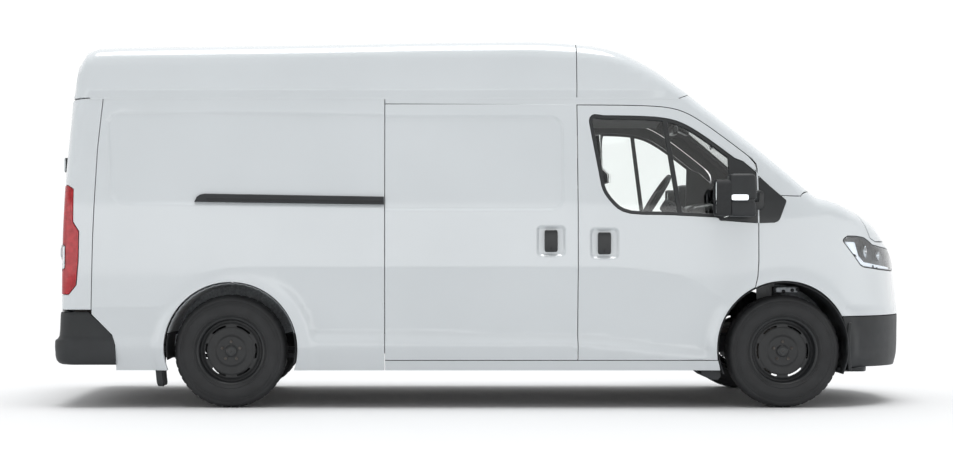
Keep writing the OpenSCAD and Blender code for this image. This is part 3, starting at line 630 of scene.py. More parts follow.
def lathe(name, profile, materials, steps=96, centre=(0, 0, 0), axis="Y", wave=None):
    # a closed profile of (radius, along) turned about an axis through the centre
    n = len(profile)
    verts = []
    for i in range(steps):
        a = 2 * pi * i / steps
        for r, t in profile:
            if wave:
                r = r + wave(i, r, t)
            c, s = r * cos(a), r * sin(a)
            verts.append((c, t, s) if axis == "Y" else (t, c, s))
    faces = []
    for i in range(steps):
        here, after = i * n, (i + 1) % steps * n
        faces += [(here + k, here + (k + 1) % n, after + (k + 1) % n, after + k) for k in range(n)]
    obj = meshObject(name, np.array(verts) + np.array(centre), faces, materials)
    fixNormals(obj)
    obj.data.set_sharp_from_angle(angle=radians(40))
    return obj


def fixNormals(obj):
    bm = bmesh.new()
    bm.from_mesh(obj.data)
    bmesh.ops.recalc_face_normals(bm, faces=bm.faces)
    bm.to_mesh(obj.data)
    bm.free()


def puff(name, centre, size, materials, power=(0.35, 0.35), steps=(32, 20), warp=None):
    # rounded block: a superellipsoid whose powers set how square it is in plan and in height
    def curl(v, e):
        return np.sign(v) * np.abs(v) ** e
    cols, rows = steps
    verts = [(0, 0, -0.5)]
    for i in range(1, rows):
        t = -pi / 2 + pi * i / rows
        for j in range(cols):
            a = 2 * pi * j / cols
            verts.append((0.5 * curl(cos(t), power[1]) * curl(cos(a), power[0]),
                0.5 * curl(cos(t), power[1]) * curl(sin(a), power[0]), 0.5 * curl(sin(t), power[1])))
    verts.append((0, 0, 0.5))
    verts = np.array(verts, float) * np.array(size, float)
    if warp:
        verts = np.array([warp(*v) for v in verts], float)
    verts = verts + np.array(centre, float)
    faces = [(0, 1 + (j + 1) % cols, 1 + j) for j in range(cols)]
    for i in range(rows - 2):
        for j in range(cols):
            a, b = 1 + i * cols + j, 1 + i * cols + (j + 1) % cols
            faces.append((a, b, b + cols, a + cols))
    top = len(verts) - 1
    base = 1 + (rows - 2) * cols
    faces += [(base + j, base + (j + 1) % cols, top) for j in range(cols)]
    return meshObject(name, verts, faces, materials)


def tube(name, points, radius, materials, sides=12, closed=False):
    # a round bar along a line of points
    pts = np.array(points, float)
    n = len(pts)
    ahead = np.roll(pts, -1, 0) - np.roll(pts, 1, 0)
    if not closed:
        ahead[0], ahead[-1] = pts[1] - pts[0], pts[-1] - pts[-2]
    ahead /= np.linalg.norm(ahead, axis=1, keepdims=True)
    ref = np.array([0.0, 0.0, 1.0]) if abs(ahead[0][2]) < 0.9 else np.array([1.0, 0.0, 0.0])
    verts = []
    side = np.cross(ahead[0], ref)
    for i in range(n):
        side = side - ahead[i] * (side @ ahead[i])
        side /= np.linalg.norm(side)
        up = np.cross(side, ahead[i])
        r = radius[i] if hasattr(radius, "__len__") else radius
        for k in range(sides):
            a = 2 * pi * k / sides
            verts.append(pts[i] + r * (side * cos(a) + up * sin(a)))
    faces = []
    for i in range(n if closed else n - 1):
        for k in range(sides):
            a, b = i * sides + k, i * sides + (k + 1) % sides
            c, d = ((i + 1) % n) * sides + (k + 1) % sides, ((i + 1) % n) * sides + k
            faces.append((a, b, c, d))
    if not closed:
        faces += [tuple(range(sides))[::-1], tuple((n - 1) * sides + k for k in range(sides))]
    obj = meshObject(name, verts, faces, materials)
    fixNormals(obj)
    return obj


def flatChart(origin, u, v, lift=None):
    # a flat plan in space: u and v are its directions; lift gives how far each point stands along their normal
    u, v, origin = (np.array(q, float) for q in (u, v, origin))
    w = np.cross(u, v)

    def place(uv):
        h = lift(uv) if lift else np.zeros(len(uv))
        p = origin + uv[:, :1] * u + uv[:, 1:2] * v + h[:, None] * w
        if lift is None:
            return p, np.tile(w, (len(uv), 1))
        e = 0.5
        du = (lift(uv + [e, 0]) - lift(uv - [e, 0])) / (2 * e)
        dv = (lift(uv + [0, e]) - lift(uv - [0, e])) / (2 * e)
        normal = w[None] - du[:, None] * u - dv[:, None] * v
        return p, normal / np.linalg.norm(normal, axis=1, keepdims=True)
    return {"place": place, "flat": lambda p: np.asarray(p, float)[:, :2]}


def clipLoop(loop, point, toward):
    # keeps the part of a closed flat loop on one side of a line
    point, toward = np.array(point, float), np.array(toward, float)
    out, n = [], len(loop)
    for i in range(n):
        a, b = np.array(loop[i], float), np.array(loop[(i + 1) % n], float)
        da, db = (a - point) @ toward, (b - point) @ toward
        if da >= 0:
            out.append(a)
        if (da >= 0) != (db >= 0):
            out.append(a + (b - a) * da / (da - db))
    return out

# materials
def hexColour(code, alpha=1.0):
    # sRGB hex to the linear values that a shader takes
    parts = [int(code[i:i + 2], 16) / 255 for i in (1, 3, 5)]
    return tuple([c / 12.92 if c <= 0.04045 else ((c + 0.055) / 1.055) ** 2.4 for c in parts] + [alpha])


def addNode(tree, kind, settings=None, inputs=None, links=None):
    node = tree.nodes.new(kind)
    for key, value in (settings or {}).items():
        setattr(node, key, value)
    for key, value in (inputs or {}).items():
        node.inputs[key].default_value = value
    for key, (source, output) in (links or {}).items():
        tree.links.new(source.outputs[output], node.inputs[key])
    return node


def perMetre(size):
    # texture scale for a grain of that many millimetres
    return 1000.0 / size


def newMaterial(name, finish, colours, variation, bump, extra=None):
    # finish: constants of the shader; colours: dark and light hex that a pattern mixes;
    # variation: size in mm and detail of that pattern; bump: list of (kind, size in mm, height in mm)
    mat = bpy.data.materials.new(name)
    mat.use_nodes = True
    tree = mat.node_tree
    shader = tree.nodes["Principled BSDF"]
    for key, value in finish.items():
        shader.inputs[key].default_value = value
    place = addNode(tree, "ShaderNodeTexCoord")
    size, detail = variation
    onPiece = {"Vector": (place, "Object")}
    cloud = addNode(tree, "ShaderNodeTexNoise", None, {"Scale": perMetre(size), "Detail": detail,
        "Roughness": 0.55}, onPiece)
    ramp = addNode(tree, "ShaderNodeValToRGB", None, None, {"Fac": (cloud, "Fac")})
    ramp.color_ramp.elements[0].position, ramp.color_ramp.elements[1].position = 0.36, 0.64
    ramp.color_ramp.elements[0].color = hexColour(colours[0])
    ramp.color_ramp.elements[1].color = hexColour(colours[1])
    tree.links.new(ramp.outputs["Color"], shader.inputs["Base Color"])
    last = None
    for kind, grain, height in bump:
        if kind == "voronoi":
            tex, out = addNode(tree, "ShaderNodeTexVoronoi", {"feature": "SMOOTH_F1"},
                {"Scale": perMetre(grain)}, onPiece), "Distance"
        elif kind == "weave":
            tex, out = addNode(tree, "ShaderNodeTexWave", {"bands_direction": "DIAGONAL"},
                {"Scale": perMetre(grain) / 6.28, "Distortion": 1.0, "Detail": 1.0}, onPiece), "Fac"
        else:
            tex, out = addNode(tree, "ShaderNodeTexNoise", None, {"Scale": perMetre(grain), "Detail": 3.0},
                onPiece), "Fac"
        step = addNode(tree, "ShaderNodeBump", None, {"Distance": height * mm, "Strength": 1.0},
            {"Height": (tex, out)})
        if last is not None:
            tree.links.new(last.outputs["Normal"], step.inputs["Normal"])
        last = step
    if last is not None:
        tree.links.new(last.outputs["Normal"], shader.inputs["Normal"])
    if "roughMap" in (extra or {}):
        low, high, grain = extra["roughMap"]
        smear = addNode(tree, "ShaderNodeTexNoise", None, {"Scale": perMetre(grain), "Detail": 4.0}, onPiece)
        spread = addNode(tree, "ShaderNodeMapRange", None, {"To Min": low, "To Max": high},
            {"Value": (smear, "Fac")})
        tree.links.new(spread.outputs["Result"], shader.inputs["Roughness"])
    return mat


def grimeBelow(mat, tone, top, bottom, amount):
    # road film that thickens towards the ground
    tree = mat.node_tree
    shader = tree.nodes["Principled BSDF"]
    base = shader.inputs["Base Color"].links[0].from_socket
    place = addNode(tree, "ShaderNodeTexCoord")
    split = addNode(tree, "ShaderNodeSeparateXYZ", None, None, {"Vector": (place, "Object")})
    height = addNode(tree, "ShaderNodeMapRange", {"interpolation_type": "SMOOTHSTEP"},
        {"From Min": bottom * mm, "From Max": top * mm, "To Min": amount, "To Max": 0.0},
        {"Value": (split, "Z")})
    speck = addNode(tree, "ShaderNodeTexNoise", None, {"Scale": perMetre(60), "Detail": 6.0},
        {"Vector": (place, "Object")})
    both = addNode(tree, "ShaderNodeMath", {"operation": "MULTIPLY"}, None,
        {0: (height, "Result"), 1: (speck, "Fac")})
    mix = addNode(tree, "ShaderNodeMix", {"data_type": "RGBA"}, None, {"Factor": (both, "Value")})
    tree.links.new(base, mix.inputs["A"])
    mix.inputs["B"].default_value = hexColour(tone)
    tree.links.new(mix.outputs["Result"], shader.inputs["Base Color"])


# solid white acrylic enamel under clear coat: a deep even gloss with faint orange peel
whiteEnamel = newMaterial("white acrylic enamel, clear coated", {"Roughness": 0.26, "IOR": 1.5,
    "Coat Weight": 1.0, "Coat Roughness": 0.05, "Coat IOR": 1.5}, ("#c1c6c9", "#c4c9cc"), (900, 2),
    [("noise", 9, 0.006)])
grimeBelow(whiteEnamel, "#c9ccd0", 520, 200, 0.25)
# the same enamel without clear coat inside the load space: flatter, with overspray
primerWhite = newMaterial("white enamel, inner side", {"Roughness": 0.6, "IOR": 1.5}, ("#b9bdc0", "#c6c9cc"),
    (120, 4), [("noise", 4, 0.02)])
# moulded polypropylene with a spark-eroded grain: dark grey that scatters a broad dull sheen
grainedPlastic = newMaterial("polypropylene, grained", {"Roughness": 0.52, "IOR": 1.49},
    ("#191c1e", "#1f2225"), (180, 4), [("voronoi", 4.5, 0.12)], {"roughMap": (0.46, 0.6, 60)})
# smooth ABS in the window surrounds and handles: a tighter highlight
smoothPlastic = newMaterial("ABS, moulded satin", {"Roughness": 0.34, "IOR": 1.53}, ("#15181a", "#1b1e20"),
    (90, 3), [("noise", 3, 0.012)])
# cab trim, soft-grained: reads as one dark grey through the glass
cabTrim = newMaterial("ABS, cab trim, leather grain", {"Roughness": 0.62, "IOR": 1.5}, ("#26292c", "#2e3235"),
    (150, 4), [("voronoi", 6, 0.2)])
headliner = newMaterial("needle felt, grey", {"Roughness": 0.95, "Sheen Weight": 0.25, "IOR": 1.45},
    ("#2c2f32", "#383b3e"), (14, 5), [("noise", 2.5, 0.5)])
# EPDM seals: dull and nearly black
sealRubber = newMaterial("EPDM seal, extruded", {"Roughness": 0.72, "IOR": 1.52}, ("#17191b", "#1d1f21"),
    (25, 3), [("noise", 2, 0.05)])
# vulcanised tyre tread: carbon black with a faint bloom of dust
tyreRubber = newMaterial("tyre rubber, vulcanised", {"Roughness": 0.66, "IOR": 1.52}, ("#151618", "#1e1f21"),
    (70, 5), [("noise", 3, 0.08)], {"roughMap": (0.56, 0.8, 35)})
# pressed steel wheel, powder coated satin black
coatedSteel = newMaterial("steel, powder coated black", {"Roughness": 0.42, "IOR": 1.5},
    ("#111315", "#17191b"), (60, 3), [("noise", 2.2, 0.03)], {"roughMap": (0.36, 0.5, 40)})
# chassis steel under wax and road film
chassisSteel = newMaterial("steel, e-coated and waxed", {"Roughness": 0.55, "IOR": 1.5, "Metallic": 0.0},
    ("#1c1e20", "#35373a"), (110, 6), [("noise", 6, 0.25)], {"roughMap": (0.4, 0.8, 80)})
castIron = newMaterial("cast iron, machined and rusted", {"Roughness": 0.5, "Metallic": 0.85},
    ("#4a4542", "#6a6662"), (18, 6), [("noise", 1.6, 0.08)], {"roughMap": (0.35, 0.65, 12)})
castAlloy = newMaterial("aluminium alloy, sand cast", {"Roughness": 0.48, "Metallic": 0.9},
    ("#7b7e81", "#92969a"), (22, 5), [("noise", 2.4, 0.15)])
brightMetal = newMaterial("aluminised reflector", {"Roughness": 0.12, "Metallic": 1.0},
    ("#d7dadd", "#e4e6e8"), (40, 2), [("noise", 12, 0.01)])
# arch liner of pressed fleece: mid grey, fibrous, no gloss
linerFleece = newMaterial("polyester fleece liner, pressed", {"Roughness": 0.9, "Sheen Weight": 0.2,
    "IOR": 1.45}, ("#8b8f92", "#a9adb0"), (14, 6), [("noise", 3.2, 0.7)], {"roughMap": (0.8, 0.97, 20)})
seatCloth = newMaterial("polyester seat cloth, woven", {"Roughness": 0.92, "Sheen Weight": 0.35, "IOR": 1.45},
    ("#26292d", "#35393e"), (7, 5), [("weave", 5, 0.35), ("noise", 2.5, 0.15)])
plywood = newMaterial("plywood load floor, phenolic film", {"Roughness": 0.5, "IOR": 1.5},
    ("#3f3630", "#524740"), (90, 6), [("voronoi", 6, 0.25)])


def glassMaterial(name, tint, roughness, variation=400):
    # clear panes take their tint from one colour; the cloud only shifts it by a hair
    mat = newMaterial(name, {"Roughness": roughness, "IOR": 1.5, "Transmission Weight": 1.0}, (tint, tint),
        (variation, 1), [])
    ramp = [n for n in mat.node_tree.nodes if n.type == "VALTORGB"][0]
    ramp.color_ramp.elements[0].color = tuple(c * 0.985 for c in hexColour(tint)[:3]) + (1,)
    return mat


# float glass, green edged: almost clear across its thickness
floatGlass = glassMaterial("float glass, toughened", "#fafdfc", 0.0)
# polycarbonate lamp covers: clear, with a hard coat
lampCover = glassMaterial("polycarbonate, hard coated", "#eef2f5", 0.02)
redLens = glassMaterial("PMMA lens, red", "#f0606c", 0.04)
redDeep = newMaterial("PMMA reflector, moulded red", {"Roughness": 0.22, "IOR": 1.49, "Coat Weight": 0.6},
    ("#c23c48", "#da5560"), (30, 2), [("voronoi", 7, 0.25)])
smokedLens = newMaterial("PMMA reflector, smoked", {"Roughness": 0.2, "IOR": 1.49, "Coat Weight": 0.6},
    ("#3a1c22", "#552a31"), (24, 2), [("voronoi", 7, 0.25)])
# opal light guide of the daytime lamp, lit softly
opalGuide = newMaterial("PMMA light guide, opal", {"Roughness": 0.3, "IOR": 1.49, "Emission Strength": 0.55},
    ("#eef1f4", "#fafcff"), (40, 2), [("noise", 6, 0.05)])
opalGuide.node_tree.nodes["Principled BSDF"].inputs["Emission Color"].default_value = hexColour("#f4f8ff")
mirrorGlass = newMaterial("mirror glass, silvered", {"Roughness": 0.03, "Metallic": 1.0},
    ("#a9b0b6", "#b4bbc1"), (300, 1), [])
print("materials made")

# camera, light and floor
view = {"lens": 76.46, "place": (-0.467, -13.26, 0.984), "shiftX": 0.0698, "shiftY": 0.0194}
cameraData = bpy.data.cameras.new("camera")
camera = bpy.data.objects.new("camera", cameraData)
bpy.context.scene.collection.objects.link(camera)
cameraData.lens, cameraData.sensor_width = view["lens"], 36
cameraData.shift_x, cameraData.shift_y = view["shiftX"], view["shiftY"]
cameraData.clip_end = 200
camera.location = view["place"]
camera.rotation_euler = (radians(90), 0, 0)
bpy.context.scene.camera = camera
bpy.context.scene.view_settings.view_transform = "Standard"

studio = {"low": 2.0, "high": 0.66, "behind": 1.08, "sun": 2.1, "sunAngle": 36.0, "floor": "#d5d6d7"}
world = bpy.data.worlds.new("studio")
bpy.context.scene.world = world
world.use_nodes = True
sky = world.node_tree
skyPlace = addNode(sky, "ShaderNodeTexCoord")
skySplit = addNode(sky, "ShaderNodeSeparateXYZ", None, None, {"Vector": (skyPlace, "Generated")})
skyFront = addNode(sky, "ShaderNodeMapRange", {"interpolation_type": "SMOOTHSTEP"},
    {"From Min": 0.14, "From Max": 0.24, "To Min": studio["low"], "To Max": studio["high"]},
    {"Value": (skySplit, "Z")})
skySide = addNode(sky, "ShaderNodeMapRange", {"interpolation_type": "SMOOTHSTEP"},
    {"From Min": -0.45, "From Max": 0.35, "To Min": 0.0, "To Max": 1.0}, {"Value": (skySplit, "Y")})
skyLevel = addNode(sky, "ShaderNodeMix", {"data_type": "FLOAT"}, {"B": studio["behind"]},
    {"Factor": (skySide, "Result"), "A": (skyFront, "Result")})
sky.links.new(skyLevel.outputs["Result"], sky.nodes["Background"].inputs["Strength"])
sky.nodes["Background"].inputs["Color"].default_value = (1, 1, 1, 1)


sunData = bpy.data.lights.new("overhead softbox", "SUN")
sunData.energy, sunData.angle = studio["sun"], radians(studio["sunAngle"])
sun = bpy.data.objects.new("overhead softbox", sunData)
sun.rotation_euler = (radians(3), radians(1), 0)
bpy.context.scene.collection.objects.link(sun)

floorPaint = newMaterial("studio floor, matt paint", {"Roughness": 0.85, "IOR": 1.4},
    (studio["floor"], studio["floor"]), (2000, 2), [("noise", 40, 0.05)])
floorMesh = bpy.data.meshes.new("floor")
floorSize = 90
floorMesh.from_pydata([(a * floorSize, b * floorSize, 0) for a, b in ((-1, -1), (1, -1), (1, 1), (-1, 1))],
    [], [(0, 1, 2, 3)])
floorMesh.materials.append(floorPaint)
floor = bpy.data.objects.new("floor", floorMesh)
bpy.context.scene.collection.objects.link(floor)
floor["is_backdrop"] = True
print("camera and studio made")


# body panels
def done(piece, body="body", nodes=()):
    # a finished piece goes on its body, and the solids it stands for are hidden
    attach(piece, body)
    if nodes:
        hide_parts(*nodes)
    return piece


def doorEdge(x):
    return softMin(van["doorTop"], topZ(x) - 170, 81)


def windowEdge(x):
    return softMin(van["windowTop"], topZ(x) - 250, 81)


def curveUp(fn, x0, x1, n=40):
    xs = np.linspace(x0, x1, n)
    return [(float(x), float(fn(x))) for x in xs]


def archSweep(cx, cz, r, x0, z0, x1, z1, n=40):
    # the part of an arch between two points on it, over the top
    a0, a1 = degrees(atan2(z0 - cz, x0 - cx)), degrees(atan2(z1 - cz, x1 - cx))
    return arcPoints(cx, cz, r, a0 % 360, a1 % 360 if a1 % 360 < a0 % 360 else a1, n)


cornerSeam = [(-838, van["sillHeight"]), (-838, 632), (-830, 1026), (-808, 1578), (-783, 1860),
    (-781, van["gutter"])]
archCut = van["archRadius"]
print("panels start")


def archEnds(centre, z):
    # where an arch meets a height, behind and ahead of its middle
    half = sqrt(archCut ** 2 - (z - centre[1]) ** 2)
    return centre[0] - half, centre[0] + half


def flankLines(xs):
    # finer points along the crease and the rocker
    return [np.stack([xs, line(xs) + dz + shift], -1) for dz in (-14, 0, 14) for line,
            shift in ((creaseLine, 0), (rockerLine, -30))]


def archLines(arch, offsets, start, end, n):
    return [np.array(arcPoints(*arch, archCut + r, start, end, n)) for r in offsets]


def sideBody(side, label):
    sill = van["sillHeight"]
    rearLow, frontLow = archEnds(rearArch, sill)
    front = postX if side > 0 else slideRearX
    bumper = [(rearX - 698, sill), (rearX - 698, 382), (rearX - 716, 444), (rearX - 838, 570)]
    seam = [(rearX + x, z) for x, z in cornerSeam[1:]]
    outline = ([(front, sill), (front, van["gutter"])] + seam[::-1] + bumper[::-1]
        + archSweep(*rearArch, archCut, rearLow, sill, frontLow, sill, 56))
    fine = [ringPoints(blankRear[0], slideRearX + 900, *blankRear[2:], 78, (-12, -6, 0, 6, 12), 24, -0.045)]
    fine += flankLines(np.arange(rearX - 840, front, 24.0)) + archLines(rearArch, (18, 40, 64, 90), -20, 200,
        90)
    done(panel(f"side_panel_{label}", sideChart(side), loopOn(sideChart(side), outline),
        [whiteEnamel, primerWhite], detail=fine, spacing=34), "body", [f"side_{label}"])


for side, label in sides:
    sideBody(side, label)
print("sides made")


def slidingDoor():
    chart = sideChart(-1)
    outline = rounded([(slideRearX, van["doorBottom"]), (postX, van["doorBottom"]), (postX, van["doorTop"]),
        (slideRearX, van["doorTop"])], [6, 6, 6, 6])
    hx, hz = handleSpots["slide"]
    fine = [ringPoints(slideRearX - 900, blankSlide[1], blankSlide[2], blankSlide[3], 78, (-12, -6, 0, 6, 12),
        24), ringPoints(hx - 82, hx + 82, hz - 86, hz + 86, 24, (-14, -7, 0, 7, 14), 12)]
    fine += flankLines(np.arange(slideRearX, postX, 24.0))
    return panel("sliding_door_panel", chart, loopOn(chart, outline), [whiteEnamel, primerWhite], detail=fine,
        depth=38)


done(slidingDoor(), "body", ["sliding_door"])


windowFoot = [(-250, 1500), (-170, 1432), (-150, 1395), (-150, 1142), (-168, 1124), (-399, 1140),
    (-403, 1154), (-419, 1158), (-689, 1172), (-870, 1175), (-937, 1180), (-986, 1195), (-1016, 1212),
    (-1042, 1236), (-1070, 1268), (-1092, 1300), (-1104, 1324), (-1112, 1350), (-1118, 1382), (-1181, 1733)]


def windowOutline():
    corner = fromFront([(-1182, 1750), (-1177, 1768), (-1165, 1781), (-1148, 1787)])
    return corner + curveUp(windowEdge, frontX - 1095, frontX - 298, 26) + fromFront(windowFoot)


def doorOutline():
    top = [p for p in curveUp(doorEdge, postX, doorFrontX, 44) if p[0] < doorFrontX - 30]
    corner = float(doorEdge(doorFrontX - 30))
    top += [(doorFrontX - 18, corner - 22), (doorFrontX - 6, corner - 48), (doorFrontX, corner - 84)]
    foot = 180 + degrees(asin((frontArch[1] - van["doorBottom"]) / archCut))
    head = 180 - degrees(acos((frontArch[0] - (doorFrontX - 22)) / archCut))
    sweep = arcPoints(*frontArch, archCut + 2, foot, head, 24)
    return ([(postX, van["doorBottom"])] + top + [(doorFrontX, 900), (doorFrontX - 6, 800),
        (doorFrontX - 22, 727)] + sweep[::-1])


def frontDoor(side, label):
    chart = sideChart(side)
    hx, hz = handleSpots["door"]
    hole = loopOn(chart, rounded(windowOutline(), 10, 3), 14)
    fine = [ringPoints(hx - 82, hx + 82, hz - 86, hz + 86, 24, (-14, -7, 0, 7, 14), 12)]
    fine += flankLines(np.arange(postX, doorFrontX, 22.0)) + archLines(frontArch, (16, 36, 60, 86), 90, 200,
        50)
    done(panel(f"front_door_panel_{label}", chart, loopOn(chart, doorOutline()), [whiteEnamel, cabTrim],
        holes=[hole], detail=fine, depth=38), f"door_{label}", [f"front_door_{label}"])


for side, label in sides:
    frontDoor(side, label)
print("front doors made")


def slantPath(side, p, q, spacing=16.0):
    # the skin between two of its points, seen from above the shoulder
    chart = slantChart(side)
    a, b = chart["flat"](np.array([p, q], float))
    return onSkin(chart, [a, b], spacing)


noseSeam = {"bonnetEdgeZ": 1010, "bonnetHalf": 798, "lampInnerHalf": 400}
bonnetWrapX = frontX + 100
bonnetSideTurn = frontX + 500
nosePlan = wrapChart(bonnetWrapX)
lampShape = [(362, 1015), (370, 1030), (396, 1045), (450, 1044), (510, 1036), (545, 1016), (573, 992),
    (640, 978), (740, 960), (775, 950), (797, 905), (794, 860), (775, 836), (744, 827), (625, 838),
    (506, 855), (480, 868)]


def bonnetSide(side):
    # shut line of the bonnet from its rear corner down to the nose
    line = onSkin(topChart(), [(cowlX + 14, side * noseSeam["bonnetHalf"]),
        (bonnetSideTurn - 60, side * 790)], 16)
    end = line[-1]
    low = onSkin(sideChart(side), [(bonnetSideTurn + 60, noseSeam["bonnetEdgeZ"] + 22),
        (bonnetSideTurn + 95, noseSeam["bonnetEdgeZ"] + 4)], 12)
    return joined(line, slantPath(side, end, low[0])[1:-1], low)


def noseLine(side, z, x0, half, n=40):
    # level line round the nose from a point on the side to a distance from the middle
    start = onSkin(sideChart(side), [(x0, z), (x0 + 1, z)])[0]
    a0 = float(nosePlan["flat"](start[None])[0][0])
    az = np.linspace(a0, 0, 400)
    o, d = nosePlan["rays"](np.stack([az, np.full(400, z)], -1))
    ring = castSkin(o, d)
    keep = np.abs(ring[:, 1]) >= half
    ring = ring[keep]
    step = max(1, len(ring) // n)
    return ring[::step]


def lampLoop(side):
    # the lamp's outline as azimuth and height round the nose, so it stays fair where the skin turns forward
    pts = []
    halfAt = [.937, .93, .92, .885, .843, .81, .78, .70, .517, .455, .40, .394, .445, .527, .73, .864, .88]
    for (x, z), y in zip(lampShape, halfAt):
        pts.append((atan2(side * y * 1000, frontX + x - bonnetWrapX) * arcScale, z))
    pts = rounded(pts, 12, 3)
    return loopOn(nosePlan, pts, 11)


def wing(side, label):
    flatSide = sideChart(side)
    rear = onSkin(flatSide, [(doorFrontX - 22, 727), (doorFrontX - 6, 800), (doorFrontX, 900),
        (doorFrontX, 1292)])
    crest = onSkin(flatSide, [(doorFrontX, 1292), (frontX + 96, 1287)])
    shut = bonnetSide(side)
    edge = noseLine(side, noseSeam["bonnetEdgeZ"], bonnetSideTurn + 100, noseSeam["lampInnerHalf"])
    inner = onSkin(nosePlan, [tuple(nosePlan["flat"](edge[-1:])[0]),
        (nosePlan["flat"](edge[-1:])[0][0], van["bumperTop"])], 16)
    lower = noseLine(side, van["bumperTop"], frontX + 352, noseSeam["lampInnerHalf"])[::-1]
    arch = onSkin(flatSide, archSweep(frontArch[0], frontArch[1], archCut, doorFrontX - 22, 727, frontX + 350,
        van["bumperTop"])[::-1], 14)
    outline = joined(rear, crest[1:], slantPath(side, crest[-1], shut[0])[1:-1], shut, edge[1:], inner[1:],
        lower[1:], arch[1:])
    chart = noseChart(side)
    fine = [chart["flat"](onSkin(flatSide, arcPoints(*frontArch, archCut + r, 30, 130, 50), 30))
        for r in (16, 36, 60)]
    # painted shade: the wing's deep gap walls, round its edges and the lamp hole, and its back take the black
    # seal rubber instead of white paint, so its seams read dark
    return done(panel(f"wing_{label}", chart, outline, [whiteEnamel, sealRubber], holes=[lampLoop(side)],
        detail=fine, spacing=26), "body")


wings = [wing(side, label) for side, label in sides]
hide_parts("wings")
print("wings made")


def bonnet():
    chart = noseChart(1)
    left, right = bonnetSide(1), bonnetSide(-1)
    rear = onSkin(topChart(), [(cowlX + 14, -noseSeam["bonnetHalf"]), (cowlX + 14, noseSeam["bonnetHalf"])],
        20)
    az0 = float(nosePlan["flat"](left[-1:])[0][0])
    front = onSkin(nosePlan, [(az0, noseSeam["bonnetEdgeZ"]), (-az0, noseSeam["bonnetEdgeZ"])], 18)
    outline = joined(rear, left[1:], front[1:-1], right[::-1])
    return done(panel("bonnet_panel", chart, outline, [whiteEnamel, primerWhite], spacing=30, depth=20),
        "bonnet", ["bonnet"])


bonnet()


def grille(prefix, chart, opening, bars, corner, edge, sinks, depth, spacing):
    # a dark back plate behind an opening, and bars across it; each bar is its height and half-widths
    done(panel(f"{prefix}_back", chart, loopOn(chart, opening, 14), [sealRubber], gap=1.0, sunk=sinks[0],
        depth=6, spacing=40))
    tag = "grille_slat" if prefix == "grille" else "lower_grille_bar"
    for k, (z, w, h) in enumerate(bars):
        bar = loopOn(chart, rounded([(-w, z - h), (w, z - h), (w, z + h), (-w, z + h)], corner), 12)
        done(panel(f"{tag}_{k + 1}", chart, bar, [smoothPlastic], gap=0.0, edge=edge, sunk=sinks[1],
            depth=depth, spacing=spacing))


def nosePanel():
    # painted nose between the wings, round the grille opening
    half = noseSeam["lampInnerHalf"]
    top, low = noseSeam["bonnetEdgeZ"], van["bumperTop"]
    edgeTop = noseLine(-1, top, bonnetSideTurn + 100, half)[-1]
    edgeLow = noseLine(-1, low, frontX + 352, half)[-1]
    a1, a2 = float(nosePlan["flat"](edgeTop[None])[0][0]), float(nosePlan["flat"](edgeLow[None])[0][0])
    outline = loopOn(nosePlan, [(a1, top), (-a1, top), (-a2, low), (a2, low)], 16)
    g = 330
    opening = rounded([(-g, 905), (g, 905), (g - 50, 640), (-g + 50, 640)], 40)
    done(panel("nose_panel", nosePlan, outline, [whiteEnamel, sealRubber],
        holes=[loopOn(nosePlan, opening, 14)], spacing=26), "body", ["front_panel"])
    bars = [(668 + 52 * k, g - 62 + 10 * k, 11) for k in range(5)]
    grille("grille", nosePlan, opening, bars, 9, 4, (34, 6), 26, 14)


nosePanel()
print("nose made")


def frontBumper():
    cx = frontX + 60
    chart = wrapChart(cx)
    flatR, flatL = sideChart(-1), sideChart(1)
    top = van["bumperTop"]
    rearTop = onSkin(flatL, [(frontX + 354, top), (frontX + 355, top)])[0]
    a0 = float(chart["flat"](rearTop[None])[0][0])
    topLine = onSkin(chart, [(-a0, top), (a0, top)], 18)
    foot = [(frontX + 393, 440), (frontX + 399, 380), (frontX + 391, 310), (frontX + 378, 243)]
    sideL = onSkin(flatL, [(frontX + 354, top), (frontX + 372, 500)] + foot, 14)
    sideR = onSkin(flatR, [(frontX + 354, top), (frontX + 372, 500)] + foot, 14)
    a1 = float(chart["flat"](sideL[-1:])[0][0])
    low = onSkin(chart, [(a1, 243), (a1 * 0.55, 236), (a1 * 0.3, 232), (-a1 * 0.3, 232), (-a1 * 0.55, 236),
        (-a1, 243)], 18)
    opening = rounded([(-330, 470), (330, 470), (300, 350), (-300, 350)], 28)
    outline = joined(topLine, sideL[1:], low[1:-1], sideR[::-1][:-1])
    fine = [resample([(-a0, z), (a0, z)], 26) for z in (302, 312, 322, 500, 508)]
    done(panel("front_bumper_skin", chart, outline, [grainedPlastic, sealRubber],
        holes=[loopOn(chart, opening, 14)], detail=fine, depth=26, spacing=28), "body",
        ["front_bumper"])
    bars = [(372 + 38 * k, 296 + 11 * k, 6) for k in range(3)]
    grille("lower_grille", chart, opening, bars, 5, 2.5, (40, 14), 22, 10)


frontBumper()
print("front bumper made")


def roofDetail(chart, sideRear, rear, front):
    # finer points at the roof's step and over its shoulders
    xs = np.arange(rear, front, 30.0)
    turns = np.radians(np.concatenate([np.arange(28, 46, 2.2), np.arange(136, 154, 2.2)])) * roofScale
    steps = [chart["flat"](onSkin(sideChart(s), [(sideRear, z), (front, z)], 30))
        for z in (1890, 1898, 1915, 1930, 1940, 1948) for s in (1, -1)]
    return steps + [np.stack([xs, np.full(len(xs), t)], -1) for t in turns]


def roofBow(chart, x, low):
    # the skin over the roof at one length, from the left side to the right
    turns = np.linspace(0, pi, 90) * roofScale
    bow = castSkin(*chart["rays"](np.stack([np.full(90, x), turns], -1)))
    return bow[bow[:, 2] > low + 3]


